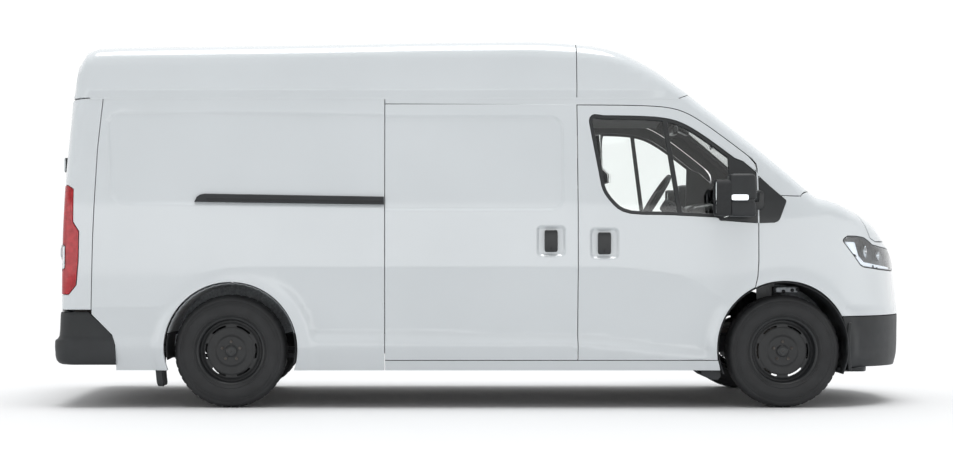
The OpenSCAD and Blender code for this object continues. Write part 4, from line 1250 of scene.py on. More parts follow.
def roof():
    chart, gutter = roofChart(rearX - 760), van["gutter"]
    left = onSkin(sideChart(1), [(postX, gutter), (rearX - 900, gutter)], 22)
    right = onSkin(sideChart(-1), [(rearX - 900, gutter), (postX, gutter)], 22)
    # the lower edge runs round the tail above the doors
    tailZ, a = van["roofHeight"] - 410, np.linspace(0, 1, 60)
    wrap = wrapChart(rearX - 500)
    l0 = float(wrap["flat"](left[-1:])[0][0])
    r0 = float(wrap["flat"](right[:1])[0][0]) + 2 * pi * arcScale
    zs = gutter - (gutter - tailZ) * easeStep(0, 0.12, a) * easeStep(1, 0.88, a)
    rear = castSkin(*wrap["rays"](np.stack([l0 + (r0 - l0) * a, zs], -1)))
    outline = joined(left, rear[1:-1], right, roofBow(chart, postX, gutter)[::-1])
    fine = roofDetail(chart, rearX - 850, rearX - 1000, postX)
    done(panel("roof_skin", chart, outline, [whiteEnamel, primerWhite], detail=fine, spacing=40, depth=24),
        "body", ["roof_panel"])


def roofCap():
    chart, gutter = roofChart(postX - 400), van["gutter"]
    edge = [(postX, gutter), (headerX - 90, gutter), (headerX, gutter + 36)]
    lowL, lowR = onSkin(sideChart(1), edge, 20), onSkin(sideChart(-1), edge[::-1], 20)
    outline = joined(lowL, roofBow(chart, headerX, gutter + 36), lowR, roofBow(chart, postX, gutter)[::-1])
    done(panel("roof_cap_skin", chart, outline, [whiteEnamel, headliner],
        detail=roofDetail(chart, postX, postX, headerX), spacing=34, depth=24), "body",
        ["roof_cap"])


roof()
roofCap()
print("roof and its cap made")


def windscreen():
    chart = topChart()
    plan = [(headerX, -690), (headerX, 690), (cowlX - 12, 790), (cowlX - 12, -790)]
    outer = rounded(plan, [50, 50, 90, 90])
    outline = loopOn(chart, outer, 20)
    inner = loopOn(chart, rounded([(headerX + 30, -668), (headerX + 30, 668), (cowlX - 74, 766),
        (cowlX - 74, -766)], [60, 60, 90, 90]), 20)
    done(panel("windscreen_pane", chart, outline, [floatGlass], gap=3.0, sunk=4, depth=5, spacing=60,
        edge=1.0), "body", ["windscreen"])
    done(panel("windscreen_band", chart, outline, [sealRubber], holes=[inner], gap=3.5, sunk=9.5, depth=3,
        spacing=40, edge=0.8))


windscreen()
print("windscreen made")


def pillar(side, label):
    # roof rail over the doors, screen pillar and the sill below, one pressing each side
    chart = slantChart(side)
    rear = postX if side > 0 else slideRearX
    flatSide = sideChart(side)
    gutter = van["gutter"]
    head = curveUp(doorEdge, doorFrontX - 30, postX, 60)
    lower = [(doorFrontX, 1292), (doorFrontX, head[0][1] - 60), (doorFrontX - 6, head[0][1] - 30)] + head
    if side < 0:
        lower += [(slideRearX, van["doorTop"])]
    low = onSkin(flatSide, lower, 16)
    rise = onSkin(flatSide, [(rear, van["doorTop"]), (rear, gutter)], 10)
    rail = onSkin(flatSide, [(rear, gutter), (headerX - 90, gutter), (headerX, gutter + 36)], 18)
    roofPlan = roofChart(postX - 400)
    th0 = float(roofPlan["flat"](rail[-1:])[0][1])
    cornerTop = onSkin(topChart(), [(headerX, side * 690), (headerX + 1, side * 690)])[0]
    th1 = float(roofPlan["flat"](cornerTop[None])[0][1])
    over = onSkin(roofPlan, [(headerX, th0), (headerX, th1)], 14)
    edge = onSkin(topChart(), [(headerX, side * 690), (cowlX - 12, side * 790)], 18)
    foot = onSkin(topChart(), [(cowlX - 12, side * 790), (cowlX + 8, side * 797)], 10)
    crest = onSkin(flatSide, [(frontX + 96, 1287), (doorFrontX, 1292)], 14)
    outline = joined(low, rise[1:], rail[1:], over[1:], edge[1:], foot[1:],
        slantPath(side, foot[-1], crest[0])[1:], crest[1:-1])
    skin = done(panel(f"roof_rail_{label}", chart, outline, [whiteEnamel, cabTrim], spacing=22, depth=26),
        "body")
    foot, top = van["sillHeight"], van["doorBottom"]
    strip = [(rear, foot), (rear, top), (archEnds(frontArch, top)[0], top),
        (archEnds(frontArch, foot)[0], foot)]
    done(panel(f"sill_{label}", flatSide, loopOn(flatSide, strip, 16), [whiteEnamel, sealRubber], spacing=24,
        depth=30), "body")
    return skin


rails = [pillar(side, label) for side, label in sides]
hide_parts("cab_frame")
print("pillars and sills made")

# tail
tail = {"topZ": van["roofHeight"] - 410, "doorHalf": 850, "sillZ": 596, "lampInner": 884}
lampTail = [(-985, 1352), (-950, 1330), (-950, 1130), (-914, 1074), (-916, 900), (-929, 748), (-975, 690)]


def cornerPost(side, name):
    chart = wrapChart(rearX - 500)
    flatSide = sideChart(side)
    seam = [(rearX - 838, tail["sillZ"])] + [(rearX + x, z) for x, z in cornerSeam if z > 600]
    up = onSkin(flatSide, seam, 16)
    topSide = onSkin(flatSide, [(rearX - 781, van["gutter"]), (rearX - 880, van["gutter"])], 16)
    inner = onSkin(tailChart(), [(side * (tail["doorHalf"] + 4), tail["topZ"] - 1),
        (side * (tail["doorHalf"] + 4), tail["sillZ"])], 16)
    a = [chart["flat"](p[None])[0] for p in (topSide[-1], inner[0], inner[-1], up[0])]
    if side < 0:
        a = [q + (np.array([2 * pi * arcScale, 0]) if q[0] < 0 else 0) for q in a]
    over = onSkin(chart, [a[0], a[1]], 14)
    under = onSkin(chart, [a[2], a[3]], 14)
    outline = joined(up, topSide[1:], over[1:], inner[1:], under[1:-1])
    if side < 0:
        chart = mirrorWrap(chart)
    return done(panel(name, chart, outline, [whiteEnamel, primerWhite], holes=[tailLampLoop(side)],
        spacing=20, depth=24), "body")


def mirrorWrap(chart):
    # the same chart with its seam moved off the tail
    flat = chart["flat"]

    def moved(p):
        uv = flat(p)
        uv[:, 0] = np.where(uv[:, 0] < 0, uv[:, 0] + 2 * pi * arcScale, uv[:, 0])
        return uv
    return {"rays": chart["rays"], "flat": moved}


def tailLampLoop(side):
    outer = onSkin(sideChart(side), [(rearX + x, z) for x, z in lampTail], 12)
    inner = onSkin(tailChart(), [(side * tail["lampInner"], 690), (side * tail["lampInner"], 1352)], 14)
    chart = mirrorWrap(wrapChart(rearX - 500))
    low = onSkin(chart, [chart["flat"](outer[-1:])[0], chart["flat"](inner[:1])[0]], 12)
    high = onSkin(chart, [chart["flat"](inner[-1:])[0], chart["flat"](outer[:1])[0]], 12)
    return joined(outer, low[1:], inner[1:], high[1:-1])


posts = [cornerPost(1, "corner_post_left"), cornerPost(-1, "corner_post_right")]
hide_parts("corner_posts")


def tailLamp(side, name):
    chart = mirrorWrap(wrapChart(rearX - 500))
    loop = tailLampLoop(side)
    flat = chart["flat"](loop)
    u0, u1 = flat[:, 0].min(), flat[:, 0].max()
    rearward = u1 if side > 0 else u0
    sign = -1 if side > 0 else 1
    window = [(rearward + sign * 16, 820), (rearward + sign * 16, 1010), (rearward + sign * 74, 985),
        (rearward + sign * 74, 850)]
    hole = loopOn(chart, rounded(window, 10), 10)
    done(panel(name + "_lens", chart, loop, [redLens, redDeep], holes=[hole], gap=1.5, edge=3, sunk=-2,
        depth=9, spacing=14), "body", ["tail_lamps"] if side > 0 else [])
    done(panel(name + "_reverse", chart, hole, [lampCover], gap=0.8, edge=2, sunk=-2, depth=7, spacing=14),
        "body")
    done(panel(name + "_reflector", chart, loop, [redDeep], gap=4, edge=2, sunk=15, depth=8, spacing=14),
        "body")
    done(panel(name + "_bowl", chart, hole, [brightMetal], gap=2, edge=2, sunk=9, depth=4, spacing=12),
        "body")
    bar = [(rearward + sign * 22, 1060), (rearward + sign * 22, 1310), (rearward + sign * 60, 1296),
        (rearward + sign * 60, 1072)]
    done(panel(name + "_guide", chart, loopOn(chart, rounded(bar, 8), 12), [smokedLens], gap=0, edge=2,
        sunk=8, depth=5, spacing=12), "body")


tailLamp(1, "tail_lamp_left")
tailLamp(-1, "tail_lamp_right")
print("tail corners made")


def rearDoor(side, name, node, body):
    chart = tailChart()
    half, low, top = tail["doorHalf"], tail["sillZ"], tail["topZ"] - 4
    corners = [(side * 0.0, low), (side * half, low), (side * half, top), (0.0, top)]
    outline = loopOn(chart, rounded(corners, [4, 10, 14, 4]), 16)
    fine = []
    for z0, z1, r in ((1265, 1790, 60), (690, 1120, 50)):
        ring = ringPoints(118, 772, z0, z1, r, (-11, -5, 0, 5, 11), 22)
        fine.append(ring * np.array([side, 1.0]))
    done(panel(name, chart, outline, [whiteEnamel, primerWhite], detail=fine, spacing=34, depth=34), body,
        [node])
    # hinges: a white strap over the corner with its pin
    for k, z in enumerate((1480, 945)):
        outer = castSkin(*chart["rays"](np.array([[side * (half - 6), z]])))[0]
        done(puff(f"{name}_hinge_{k + 1}", outer + np.array([-8, side * -22, 0]),
            (30, 84, 92 if k == 0 else 62), [whiteEnamel], (0.4, 0.35), (28, 16)), body)
        done(tube(f"{name}_hinge_pin_{k + 1}", [outer + np.array([-6, side * 14, dz])
            for dz in (-44, -20, 0, 20, 44)], 8, [smoothPlastic], 14), body)
    if side > 0:
        centre = castSkin(*chart["rays"](np.array([[75.0, 1020.0]])))[0]
        done(puff(name + "_handle", centre + np.array([-10, 0, 0]), (34, 92, 170), [smoothPlastic],
            (0.3, 0.3), (36, 22)), body)
    else:
        plate = loopOn(chart, rounded([(-700, 850), (-180, 850), (-180, 965), (-700, 965)], 8), 16)
        done(panel(name + "_plate", chart, plate, [primerWhite], gap=0, edge=1.5, sunk=-5, depth=6,
            spacing=60), body)


rearDoor(1, "rear_door_panel_left", "rear_door_left", "tail_door_left")
rearDoor(-1, "rear_door_panel_right", "rear_door_right", "tail_door_right")


def rearBumper():
    back = rearX - van["rearOverhang"]
    levels = [(584, 62), (584, 44), (579, 37), (560, 34), (470, 30), (436, 26), (420, 16), (412, 4), (404, 0),
        (370, -2), (310, 2), (288, 8), (272, 22), (264, 40), (262, 62)]
    ends = [(180, -690), (382, -698), (444, -716), (584, -860), (620, -860)]

    def ring(z, t, thick):
        zz = np.array([p[0] for p in ends])
        xEnd = rearX + float(np.interp(z, zz, [p[1] for p in ends]))
        t = t + thick
        w = 1006 - 0.45 * max(t, 0) - 14 * (1 - (z - 262) / 322) - thick * 0.6
        r = max(105 - t * 0.4, 50)
        pts = [(xEnd + (back + t + r + 30 - xEnd) * f, w) for f in np.linspace(0, 1, 12)[:-1]]
        pts += [(back + t + r + 30 - r * sin(a), w - r + r * cos(a)) for a in np.linspace(0, pi / 2, 11)]
        pts += [(back + t + 30 * (abs(f) ** 2.0), (w - r) * f) for f in np.linspace(1, -1, 33)[1:-1]]
        pts += [(x, -y) for x, y in pts[:22][::-1]]
        return [(x, y, z) for x, y in pts]
    outer = [ring(z, t, 0) for z, t in levels]
    inner = [ring(min(max(z, 270), 576), t, 22) for z, t in levels]
    done(gridSolid("rear_bumper_skin", outer, inner, [grainedPlastic]), "body",
        ["rear_bumper"])
    done(puff("rear_step_pad", (back + 96, 0, 586), (120, 1480, 12), [grainedPlastic], (0.16, 0.5), (60, 12)))
    for s in (1, -1):
        done(puff(f"rear_reflector_{'left' if s > 0 else 'right'}", (back + 20, s * 640, 345), (22, 150, 34),
            [redDeep], (0.25, 0.3), (32, 14)), "body")


rearBumper()
print("tail made")


# door windows, mirrors, handles and the rail
window = {"frame": 21, "glassSunk": 11, "barWidth": 28, "sailX": frontX - 338}
barLine = ((frontX - 726, 1787.0), (frontX - 636, 1160.0))


def doorWindow(side, label):
    body = f"door_{label}"
    chart = sideChart(side)
    outline = rounded(windowOutline(), 10, 3)
    dense = resample(outline, 14, True)
    if signedArea(dense) < 0:
        dense = dense[::-1]
    inner = [tuple(p) for p in insetLoop(dense, window["frame"])]
    (bx0, bz0), (bx1, bz1) = barLine
    along = np.array([bx1 - bx0, bz1 - bz0]) / hypot(bx1 - bx0, bz1 - bz0)
    across = np.array([-along[1], along[0]])
    half = window["barWidth"] / 2
    mid = np.array([bx0, bz0])
    rear = clipLoop(inner, mid - across * half, -across)
    if np.mean([p[0] for p in rear]) > bx1:
        rear = clipLoop(inner, mid + across * half, across)
        front = clipLoop(inner, mid - across * half, -across)
    else:
        front = clipLoop(inner, mid + across * half, across)
    front = clipLoop(front, (window["sailX"], 1200), (-1, 0))
    rear, front = rounded(rear, 9, 3), rounded(front, 9, 3)
    holes = [loopOn(chart, rear, 14), loopOn(chart, front, 14)]
    face = loopOn(chart, clipLoop(outline, (frontX - 162, 1200), (-1, 0)), 14)
    done(panel(f"window_frame_{label}", chart, face, [smoothPlastic, cabTrim], holes=holes, gap=1.0, edge=2.5,
        sunk=1.5, depth=34, spacing=30), body)
    pane = clipLoop([tuple(p) for p in insetLoop(dense, 9)], (window["sailX"] + 12, 1200), (-1, 0))
    done(panel(f"door_pane_{label}", chart, loopOn(chart, pane, 18), [floatGlass], gap=0.0, edge=0.8,
        sunk=window["glassSunk"], depth=5, spacing=50), body, [f"door_glass_{label}"])
    # trim on the wing that carries the black triangle forward of the door
    tip = fromFront([(-160, 1418), (-90, 1350), (7, 1264), (8, 1250), (-34, 1146), (-46, 1132), (-66, 1124),
        (-160, 1121)])
    done(panel(f"mirror_trim_{label}", chart, loopOn(chart, rounded(tip, [3, 20, 6, 6, 10, 10, 10, 3]), 14),
        [smoothPlastic], gap=1.0, edge=3, sunk=-3.0, depth=27, spacing=24))


for side, label in sides:
    doorWindow(side, label)
print("windows made")


def mirror(side, label):
    body = f"door_{label}"
    cx, cz = frontX - 291, 1288

    def shape(x, y, z):
        # the head leans in at its top front and narrows to the rear face
        taper = 1 - 0.10 * max(0, z) / 131
        fx = x - 0.06 * z * (x > 0)
        fy = y * taper * (1 - 0.10 * max(0.0, x) / 86)
        return fx, fy, z
    done(puff(f"mirror_upper_{label}", (cx, side * 1150, 1337), (162, 166, 158), [grainedPlastic],
        (0.28, 0.26), (44, 28), shape), body, [f"mirror_{label}"])
    done(puff(f"mirror_lower_{label}", (cx, side * 1150, 1207), (158, 160, 98), [grainedPlastic],
        (0.30, 0.30), (44, 24), lambda x, y, z: (x - 0.08 * z, y * (1 + 0.06 * min(0, z) / 49), z)), body)
    done(puff(f"mirror_neck_{label}", (cx, side * 1150, 1256), (140, 144, 40), [smoothPlastic], (0.25, 0.5),
        (36, 12)), body)
    rear = flatChart((frontX - 450, 0, 0), (0, -1, 0), (0, 0, 1))
    rear["flat"] = lambda p: np.asarray(p, float)[:, [1, 2]] * [-1, 1]

    def framed(y0, y1, z0, z1, r):
        loop = rounded([(-side * y0, z0), (-side * y1, z0), (-side * y1, z1), (-side * y0, z1)], r)
        return loop if signedArea(np.array(loop)) > 0 else loop[::-1]

    def spaced(loop):
        return rear["place"](np.array(loop, float))[0]
    done(panel(f"mirror_bezel_{label}", rear, spaced(framed(1074, 1226, 1164, 1380, 30)), [sealRubber],
        holes=[spaced(framed(1084, 1216, 1256, 1370, 22)), spaced(framed(1084, 1216, 1176, 1246, 20))],
        gap=0.0, edge=4, depth=86, spacing=24), body)
    for k, (z0, z1, r) in enumerate(((1256, 1370, 22), (1176, 1246, 20))):
        done(panel(f"mirror_glass_{label}_{k + 1}", rear, spaced(framed(1084, 1216, z0, z1, r)),
            [mirrorGlass], gap=0.6, edge=1, sunk=8, depth=4, spacing=30), body)
    done(puff(f"mirror_flasher_{label}", (frontX - 312, side * 1229, 1273), (100, 16, 34), [opalGuide],
        (0.3, 0.3), (32, 14)), body)
    done(puff(f"mirror_arm_{label}", (frontX - 205, side * 1052, 1282), (66, 130, 58), [smoothPlastic],
        (0.3, 0.3), (36, 20), lambda x, y, z: (x - 0.35 * y * side, y, z * (1 - 0.15 * y * side / 65))), body)
    done(puff(f"mirror_foot_{label}", (frontX - 205, side * 995, 1262), (150, 42, 120), [smoothPlastic],
        (0.35, 0.4), (36, 20)), body)


for side, label in sides:
    mirror(side, label)


def handle(side, spot, body, name):
    hx, hz = handleSpots[spot]
    centre = castSkin(*sideChart(side)["rays"](np.array([[hx, hz]])))[0]
    done(puff(name, centre + np.array([0, side * 9, 0]), (79, 34, 134), [smoothPlastic], (0.24, 0.22),
        (48, 28), lambda x, y, z: (x, y - side * 5 * (z / 67) ** 2, z)), body)
    done(puff(name + "_lock", centre + np.array([0, side * 24.5, -44]), (16, 6, 16), [coatedSteel],
        (0.9, 0.5), (20, 10)), body)


handle(1, "door", "door_left", "door_handle_left")
handle(-1, "door", "door_right", "door_handle_right")
handle(-1, "slide", "body", "slide_door_handle")


def slideRail():
    chart = sideChart(-1)
    x1, z0 = slideRearX - 4, 1235
    x0 = x1 - 1148
    outline = [(x1, z0), (x1, z0 + 48), (x0 + 62, z0 + 66), (x0 + 34, z0 + 61), (x0 + 14, z0 + 47),
        (x0, z0 + 17)]
    done(panel("slide_rail_cover", chart, loopOn(chart, outline, 14, pressed=False), [grainedPlastic],
        gap=0.0, edge=5, sunk=-9, depth=20, spacing=16, pressed=False), "body",
        ["slide_rail"])
    slot = [(x1 - 6, z0 + 12), (x1 - 6, z0 + 24), (x0 + 70, z0 + 41), (x0 + 70, z0 + 29)]
    done(panel("slide_rail_track", chart, loopOn(chart, slot, 16, pressed=False), [sealRubber], gap=0.0,
        edge=1.5, sunk=-11, depth=4, spacing=16, pressed=False))


slideRail()
print("handles, mirrors and rail made")


# headlamps
def headlamp(side, label):
    chart = nosePlan
    loop = lampLoop(side)
    done(panel(f"headlamp_cover_{label}", chart, loop, [lampCover], gap=2.2, edge=2, sunk=0.5, depth=3.5,
        spacing=16), "body", ["headlamps"] if side > 0 else [])
    flat = chart["flat"](loop)
    if signedArea(flat) < 0:
        flat = flat[::-1]
    inner = insetLoop(flat, 9)
    done(panel(f"headlamp_bezel_{label}", chart, loop, [smoothPlastic, sealRubber],
        holes=[loopOn(chart, inner, 10)], gap=2.4, edge=1.5, sunk=5, depth=46, spacing=14), "body")
    done(panel(f"headlamp_bowl_{label}", chart, loop, [smoothPlastic], gap=6, edge=2, sunk=48, depth=6,
        spacing=20), "body")

    def spot(x, z, y):
        return (atan2(side * y, x - 100) * arcScale, z)
    guide = [spot(380, 1012, 928), spot(447, 1008, 886), spot(466, 925, 868), spot(507, 886, 850),
        spot(600, 868, 745), spot(708, 851, 570), spot(709, 838, 566), spot(600, 850, 742),
        spot(502, 862, 853), spot(462, 886, 872)]
    done(panel(f"headlamp_guide_{label}", chart, loopOn(chart, rounded(guide, 6, 2), 9), [opalGuide], gap=0.5,
        edge=2.5, sunk=9, depth=14, spacing=9), "body")
    for k, (x, y, z, r) in enumerate(((520, 800, 950, 44), (630, 660, 925, 38))):
        dish = [(r, 0), (r * 0.98, 6), (r * 0.8, 4), (r * 0.72, -8), (r * 0.4, -20), (4, -24), (4, -28),
            (r * 0.5, -26), (r * 0.9, -14)]
        done(lathe(f"headlamp_dish_{label}_{k + 1}", dish, [brightMetal], 40, (frontX + x, side * y, z), "X"),
            "body")
        done(puff(f"headlamp_eye_{label}_{k + 1}", (frontX + x - 6, side * y, z), (22, r * 1.25, r * 1.25),
            [lampCover], (1, 1), (32, 16)), "body")


for side, label in sides:
    headlamp(side, label)
print("headlamps made")


def airDam():
    done(puff("air_dam", (frontX + 478, 0, 230), (204, 1730, 42), [grainedPlastic], (0.2, 0.3), (60, 16),
        lambda x, y, z: (x - 60 * (y / 865) ** 4, y, z)))


def dripMoulding(side, label):
    # rolled strip that covers the joint of roof and side
    z = van["gutter"]
    start = rearX - 860
    loop = [(start, z - 6), (headerX - 92, z - 6), (headerX - 92, z + 5), (start, z + 5)]
    done(panel(f"drip_moulding_{label}", sideChart(side), loopOn(sideChart(side), loop, 30), [whiteEnamel],
        gap=0.0, edge=1.0, sunk=-0.8, depth=3.5, spacing=30), "body")


airDam()
for side, label in sides:
    dripMoulding(side, label)

# wheels, arches and flaps
wheel = {"rim": 203.2, "width": 215.0, "slotRadius": 154.0, "slotHalf": 5.5, "slotAngle": 17.5,
    "boltCircle": 57}


def tyreProfile():
    r0, r1, w = wheel["rim"], tyreRadius, wheel["width"] / 2
    side = [(r0 + 1, w - 25), (r0 + 4, w - 16), (r0 + 12, w - 10), (r0 + 18, w - 4), (r0 + 24, w - 6),
        (r0 + 30, w - 3.5), (r0 + 44, w - 0.6), (r0 + 62, w), (r0 + 82, w - 1.2), (r0 + 85, w - 3.2),
        (r0 + 88, w - 1.8), (r1 - 38, w - 6), (r1 - 34, w - 8.6), (r1 - 30, w - 8), (r1 - 20, w - 13),
        (r1 - 11, w - 21), (r1 - 5, w - 31), (r1 - 1.5, w - 42)]
    tread = []
    for c in (51, 17):
        tread += [(r1 - 0.5, c + 5), (r1 - 8, c + 4), (r1 - 8, c - 4), (r1, c - 5)]
    half = side + tread
    return half + [(r, -t) for r, t in half[::-1]]


def treadBlocks(i, r, t):
    # shoulder and rib sipes: every few steps the tread dips
    if r > tyreRadius - 14 and abs(t) < 92 and i % 5 == 0:
        return -4.0 if r > tyreRadius - 6 else -1.5
    return 0.0


def tyre(x, side, name, body):
    y = side * wheelY
    return done(lathe(name, tyreProfile(), [tyreRubber], 200, (x, y, wheelZ), "Y", treadBlocks), body,
        [name])


def slotted(name, loop, z, radius, thick, holes, materials, centre, side, step=9.0):
    # a pressed disc standing in the wheel: lift says how it is dished, positive outwards
    chart = flatChart(centre, (-side, 0, 0), (0, 0, 1), lift=lambda uv: z(np.hypot(uv[:, 0], uv[:, 1])))
    rings = [np.array([(r * cos(a), r * sin(a)) for a in np.linspace(0, 2 * pi, max(12, int(6.28 * r / step)),
        False)]) for r in radius]
    outline = chart["place"](np.array(rounded(loop, 0, 1), float))[0]
    cuts = [chart["place"](np.array(h, float))[0] for h in holes]
    local = {"place": chart["place"], "flat": lambda p: (np.asarray(p, float) - np.array(centre))[:, [0, 2]]
        * [-side, 1]}
    return panel(name, local, outline, materials, holes=cuts, gap=0.0, edge=1.5, depth=thick, spacing=step,
        detail=rings)


def rim(x, side, name, body):
    y = side * wheelY
    r0, w = wheel["rim"], wheel["width"] / 2 - 25

    def s(t):
        return side * t
    barrel = [(r0, s(-w)), (r0 + 12, s(-w - 3)), (r0 + 14, s(-w - 7)), (r0 + 10, s(-w - 9)),
        (r0 - 6, s(-w - 6)), (r0 - 12, s(-w + 4)), (r0 - 14, s(-40)), (r0 - 34, s(-10)), (r0 - 34, s(8)),
        (r0 - 17, s(34)), (r0 - 13, s(w - 3)), (r0 - 4, s(w + 6)), (r0 + 13, s(w + 9)), (r0 + 18, s(w + 6)),
        (r0 + 15, s(w + 2)), (r0, s(w)), (r0 - 5, s(w - 8)), (r0 - 8, s(46)), (r0 - 26, s(12)),
        (r0 - 26, s(-6)), (r0 - 6, s(-36))]
    done(lathe(name, barrel, [coatedSteel], 96, (x, y, wheelZ)), body, [name])
    reach = r0 - 15

    def dish(r):
        # flat centre, a step at the slots and a lip to the barrel
        return 40 + 5 * easeStep(100, 84, r) - 3 * easeStep(136, 150, r) - 5 * easeStep(160, 180, r)
    slots = []
    for k in range(6):
        mid, half = radians(60 * k), radians(wheel["slotAngle"])
        far, near = wheel["slotRadius"] + wheel["slotHalf"], wheel["slotRadius"] - wheel["slotHalf"]
        out = [(far * cos(a), far * sin(a)) for a in np.linspace(mid - half, mid + half, 10)]
        back = [(near * cos(a), near * sin(a)) for a in np.linspace(mid + half, mid - half, 10)]
        slots.append(rounded(out + back, [6] + [0] * 8 + [6, 6] + [0] * 8 + [6], 3))
    for k in range(5):
        a = radians(90 + 72 * k)
        slots.append([(wheel["boltCircle"] * cos(a) + 7 * cos(b), wheel["boltCircle"] * sin(a) + 7 * sin(b))
            for b in np.linspace(0, 2 * pi, 12, False)])
    loop = [(reach * cos(a), reach * sin(a)) for a in np.linspace(0, 2 * pi, 96, False)]
    disc = slotted(name + "_disc", loop, dish, (84, 90, 96, 136, 143, 170, 178), 6, slots, [coatedSteel],
        (x, y, wheelZ), side)
    done(disc, body)
    done(lathe(name + "_cap", [(37, s(38)), (37, s(52)), (34, s(56)), (24, s(58.5)), (22, s(57)), (4, s(58)),
        (4, s(46)), (30, s(46))], [smoothPlastic], 48, (x, y, wheelZ)), body)
    for k in range(5):
        a = radians(90 + 72 * k)
        done(lathe(f"{name}_bolt_{k + 1}", [(3, s(30)), (9.5, s(30)), (9.5, s(50)), (8, s(53)), (3, s(54))],
            [castIron], 12, (x + wheel["boltCircle"] * cos(a), y, wheelZ + wheel["boltCircle"] * sin(a))),
            body)


for x, place in ((frontX, "front"), (rearX, "rear")):
    for side, label in ((1, "left"), (-1, "right")):
        tyre(x, side, f"tyre_{place}_{label}", f"wheel_{place}_{label}")
        rim(x, side, f"rim_{place}_{label}", f"wheel_{place}_{label}")
print("wheels made")


def archLiner(cx, cz, side, name, a0, a1, materials, pleats, nodes=()):
    # a pressed shell round the wheel, pleated along its crown, closed by an inner wall
    rows, cols = 56, 15
    near, far = 560.0, 976.0
    outer, inner = [], []
    for i in range(rows):
        a = radians(a0 + (a1 - a0) * i / (rows - 1))
        crown = sin(a)
        line, under = [], []
        for j in range(cols):
            f = j / (cols - 1)
            ridge = 3.2 * sin(pleats * a) * clamp01(np.array([crown]))[0]
            r = 397.5 + ridge - 14 * (1 - f) ** 3
            y = side * (near + (far - near) * f)
            line.append((cx + r * cos(a), y, cz + r * sin(a)))
            under.append((cx + (r - 4) * cos(a), y, cz + (r - 4) * sin(a)))
        outer.append(line)
        inner.append(under)
    done(gridSolid(name, outer, inner, materials), "body", nodes)
    wall = []
    for r in (394, 330, 240):
        wall.append([(cx + r * cos(radians(t)), side * (near + 6 * sin(t / 9)), cz + r * sin(radians(t)))
            for t in np.linspace(a0, a1, 48)])
    back = [[(p[0], p[1] - side * 4, p[2]) for p in row] for row in wall]
    if cx > 0:
        return        # the front wheels need the room to steer
    done(gridSolid(name + "_wall", wall, back, materials))


first = True
for side, label in ((-1, "right"), (1, "left")):
    archLiner(frontX - 7, wheelZ + 24, side, f"front_liner_{label}", -24, 204, [chassisSteel], 0,
        ["arch_liners"] if first else [])
    archLiner(rearX + 4, wheelZ + 17, side, f"rear_liner_{label}", 14, 166, [linerFleece], 52)
    first = False
    for low, high, tag in ((-14, 14, "front"), (166, 190, "rear")):
        rows = []
        for t in np.linspace(low, high, 12):
            a = radians(t)
            rows.append([(rearX + 4 + 394 * cos(a), side * y, wheelZ + 17 + 394 * sin(a))
                for y in np.linspace(560, 972, 8)])
        inn = [[(p[0] * 0.985 + (rearX + 4) * 0.015, p[1], p[2] * 0.985 + (wheelZ + 17) * 0.015) for p in r]
            for r in rows]
        done(gridSolid(f"rear_liner_{tag}_{label}", rows, inn, [sealRubber]))
    # mud flap: a curved moulding behind the rear wheel, thicker at its outer edge
    done(puff(f"mud_flap_{label}", (rearX - 438, side * 846, 242), (50, 214, 228), [grainedPlastic],
        (0.3, 0.22), (44, 26), lambda x, y, z: (x * (0.5 + 0.5 * abs(y) / 107) + 0.0006 * (z - 40) ** 2, y,
        z)))
    done(puff(f"mud_flap_bracket_{label}", (rearX - 415, side * 846, 362), (60, 200, 44), [chassisSteel],
        (0.3, 0.3), (32, 16)))
    # wedge of black plastic behind the front wheel, under the sill
    lower = fromFront([(-548, 232), (-500, 196), (-446, 172), (-400, 166), (-380, 190), (-392, 300),
        (-420, 330), (-470, 300)])
    shape = rounded(lower, [4, 30, 30, 6, 6, 6, 6, 6], 4)
    pts = np.array([(p[0], side * 905, p[1]) for p in shape])
    flat = {"place": lambda uv: (np.stack([uv[:, 0], np.full(len(uv), side * 940.0), uv[:, 1]], 1),
        np.tile([0.0, float(side), 0.0], (len(uv), 1))), "flat": lambda p: np.asarray(p, float)[:, [0, 2]]}
    done(panel(f"sill_wedge_{label}", flat, pts, [grainedPlastic], gap=0, edge=5, depth=190, spacing=24))
    # strip between the front arch and the bumper
    done(puff(f"arch_strut_{label}", (frontX + 392, side * 884, 372), (26, 130, 300), [grainedPlastic],
        (0.3, 0.2), (36, 30), lambda x, y, z: (x + 0.0006 * z * z, y, z)))
    done(puff(f"strut_bracket_{label}", (frontX + 40, side * 815, wheelZ + 372), (150, 60, 46), [castAlloy],
        (0.4, 0.4), (36, 18)))
    for k, dx in enumerate((-24, 30, 62)):
        done(lathe(f"strut_bolt_{label}_{k + 1}", [(2, 0), (11, 0), (11, side * 8), (8, side * 12),
            (2, side * 13)], [sealRubber], 18, (frontX + 40 + dx, side * 845, wheelZ + 366 + 0.12 * dx)))
print("arches made")

# cab
cab = {"columnTilt": 32.0, "wheelX": frontX - 620, "wheelY": 430, "wheelZ": 1300, "seatX": frontX - 1175}


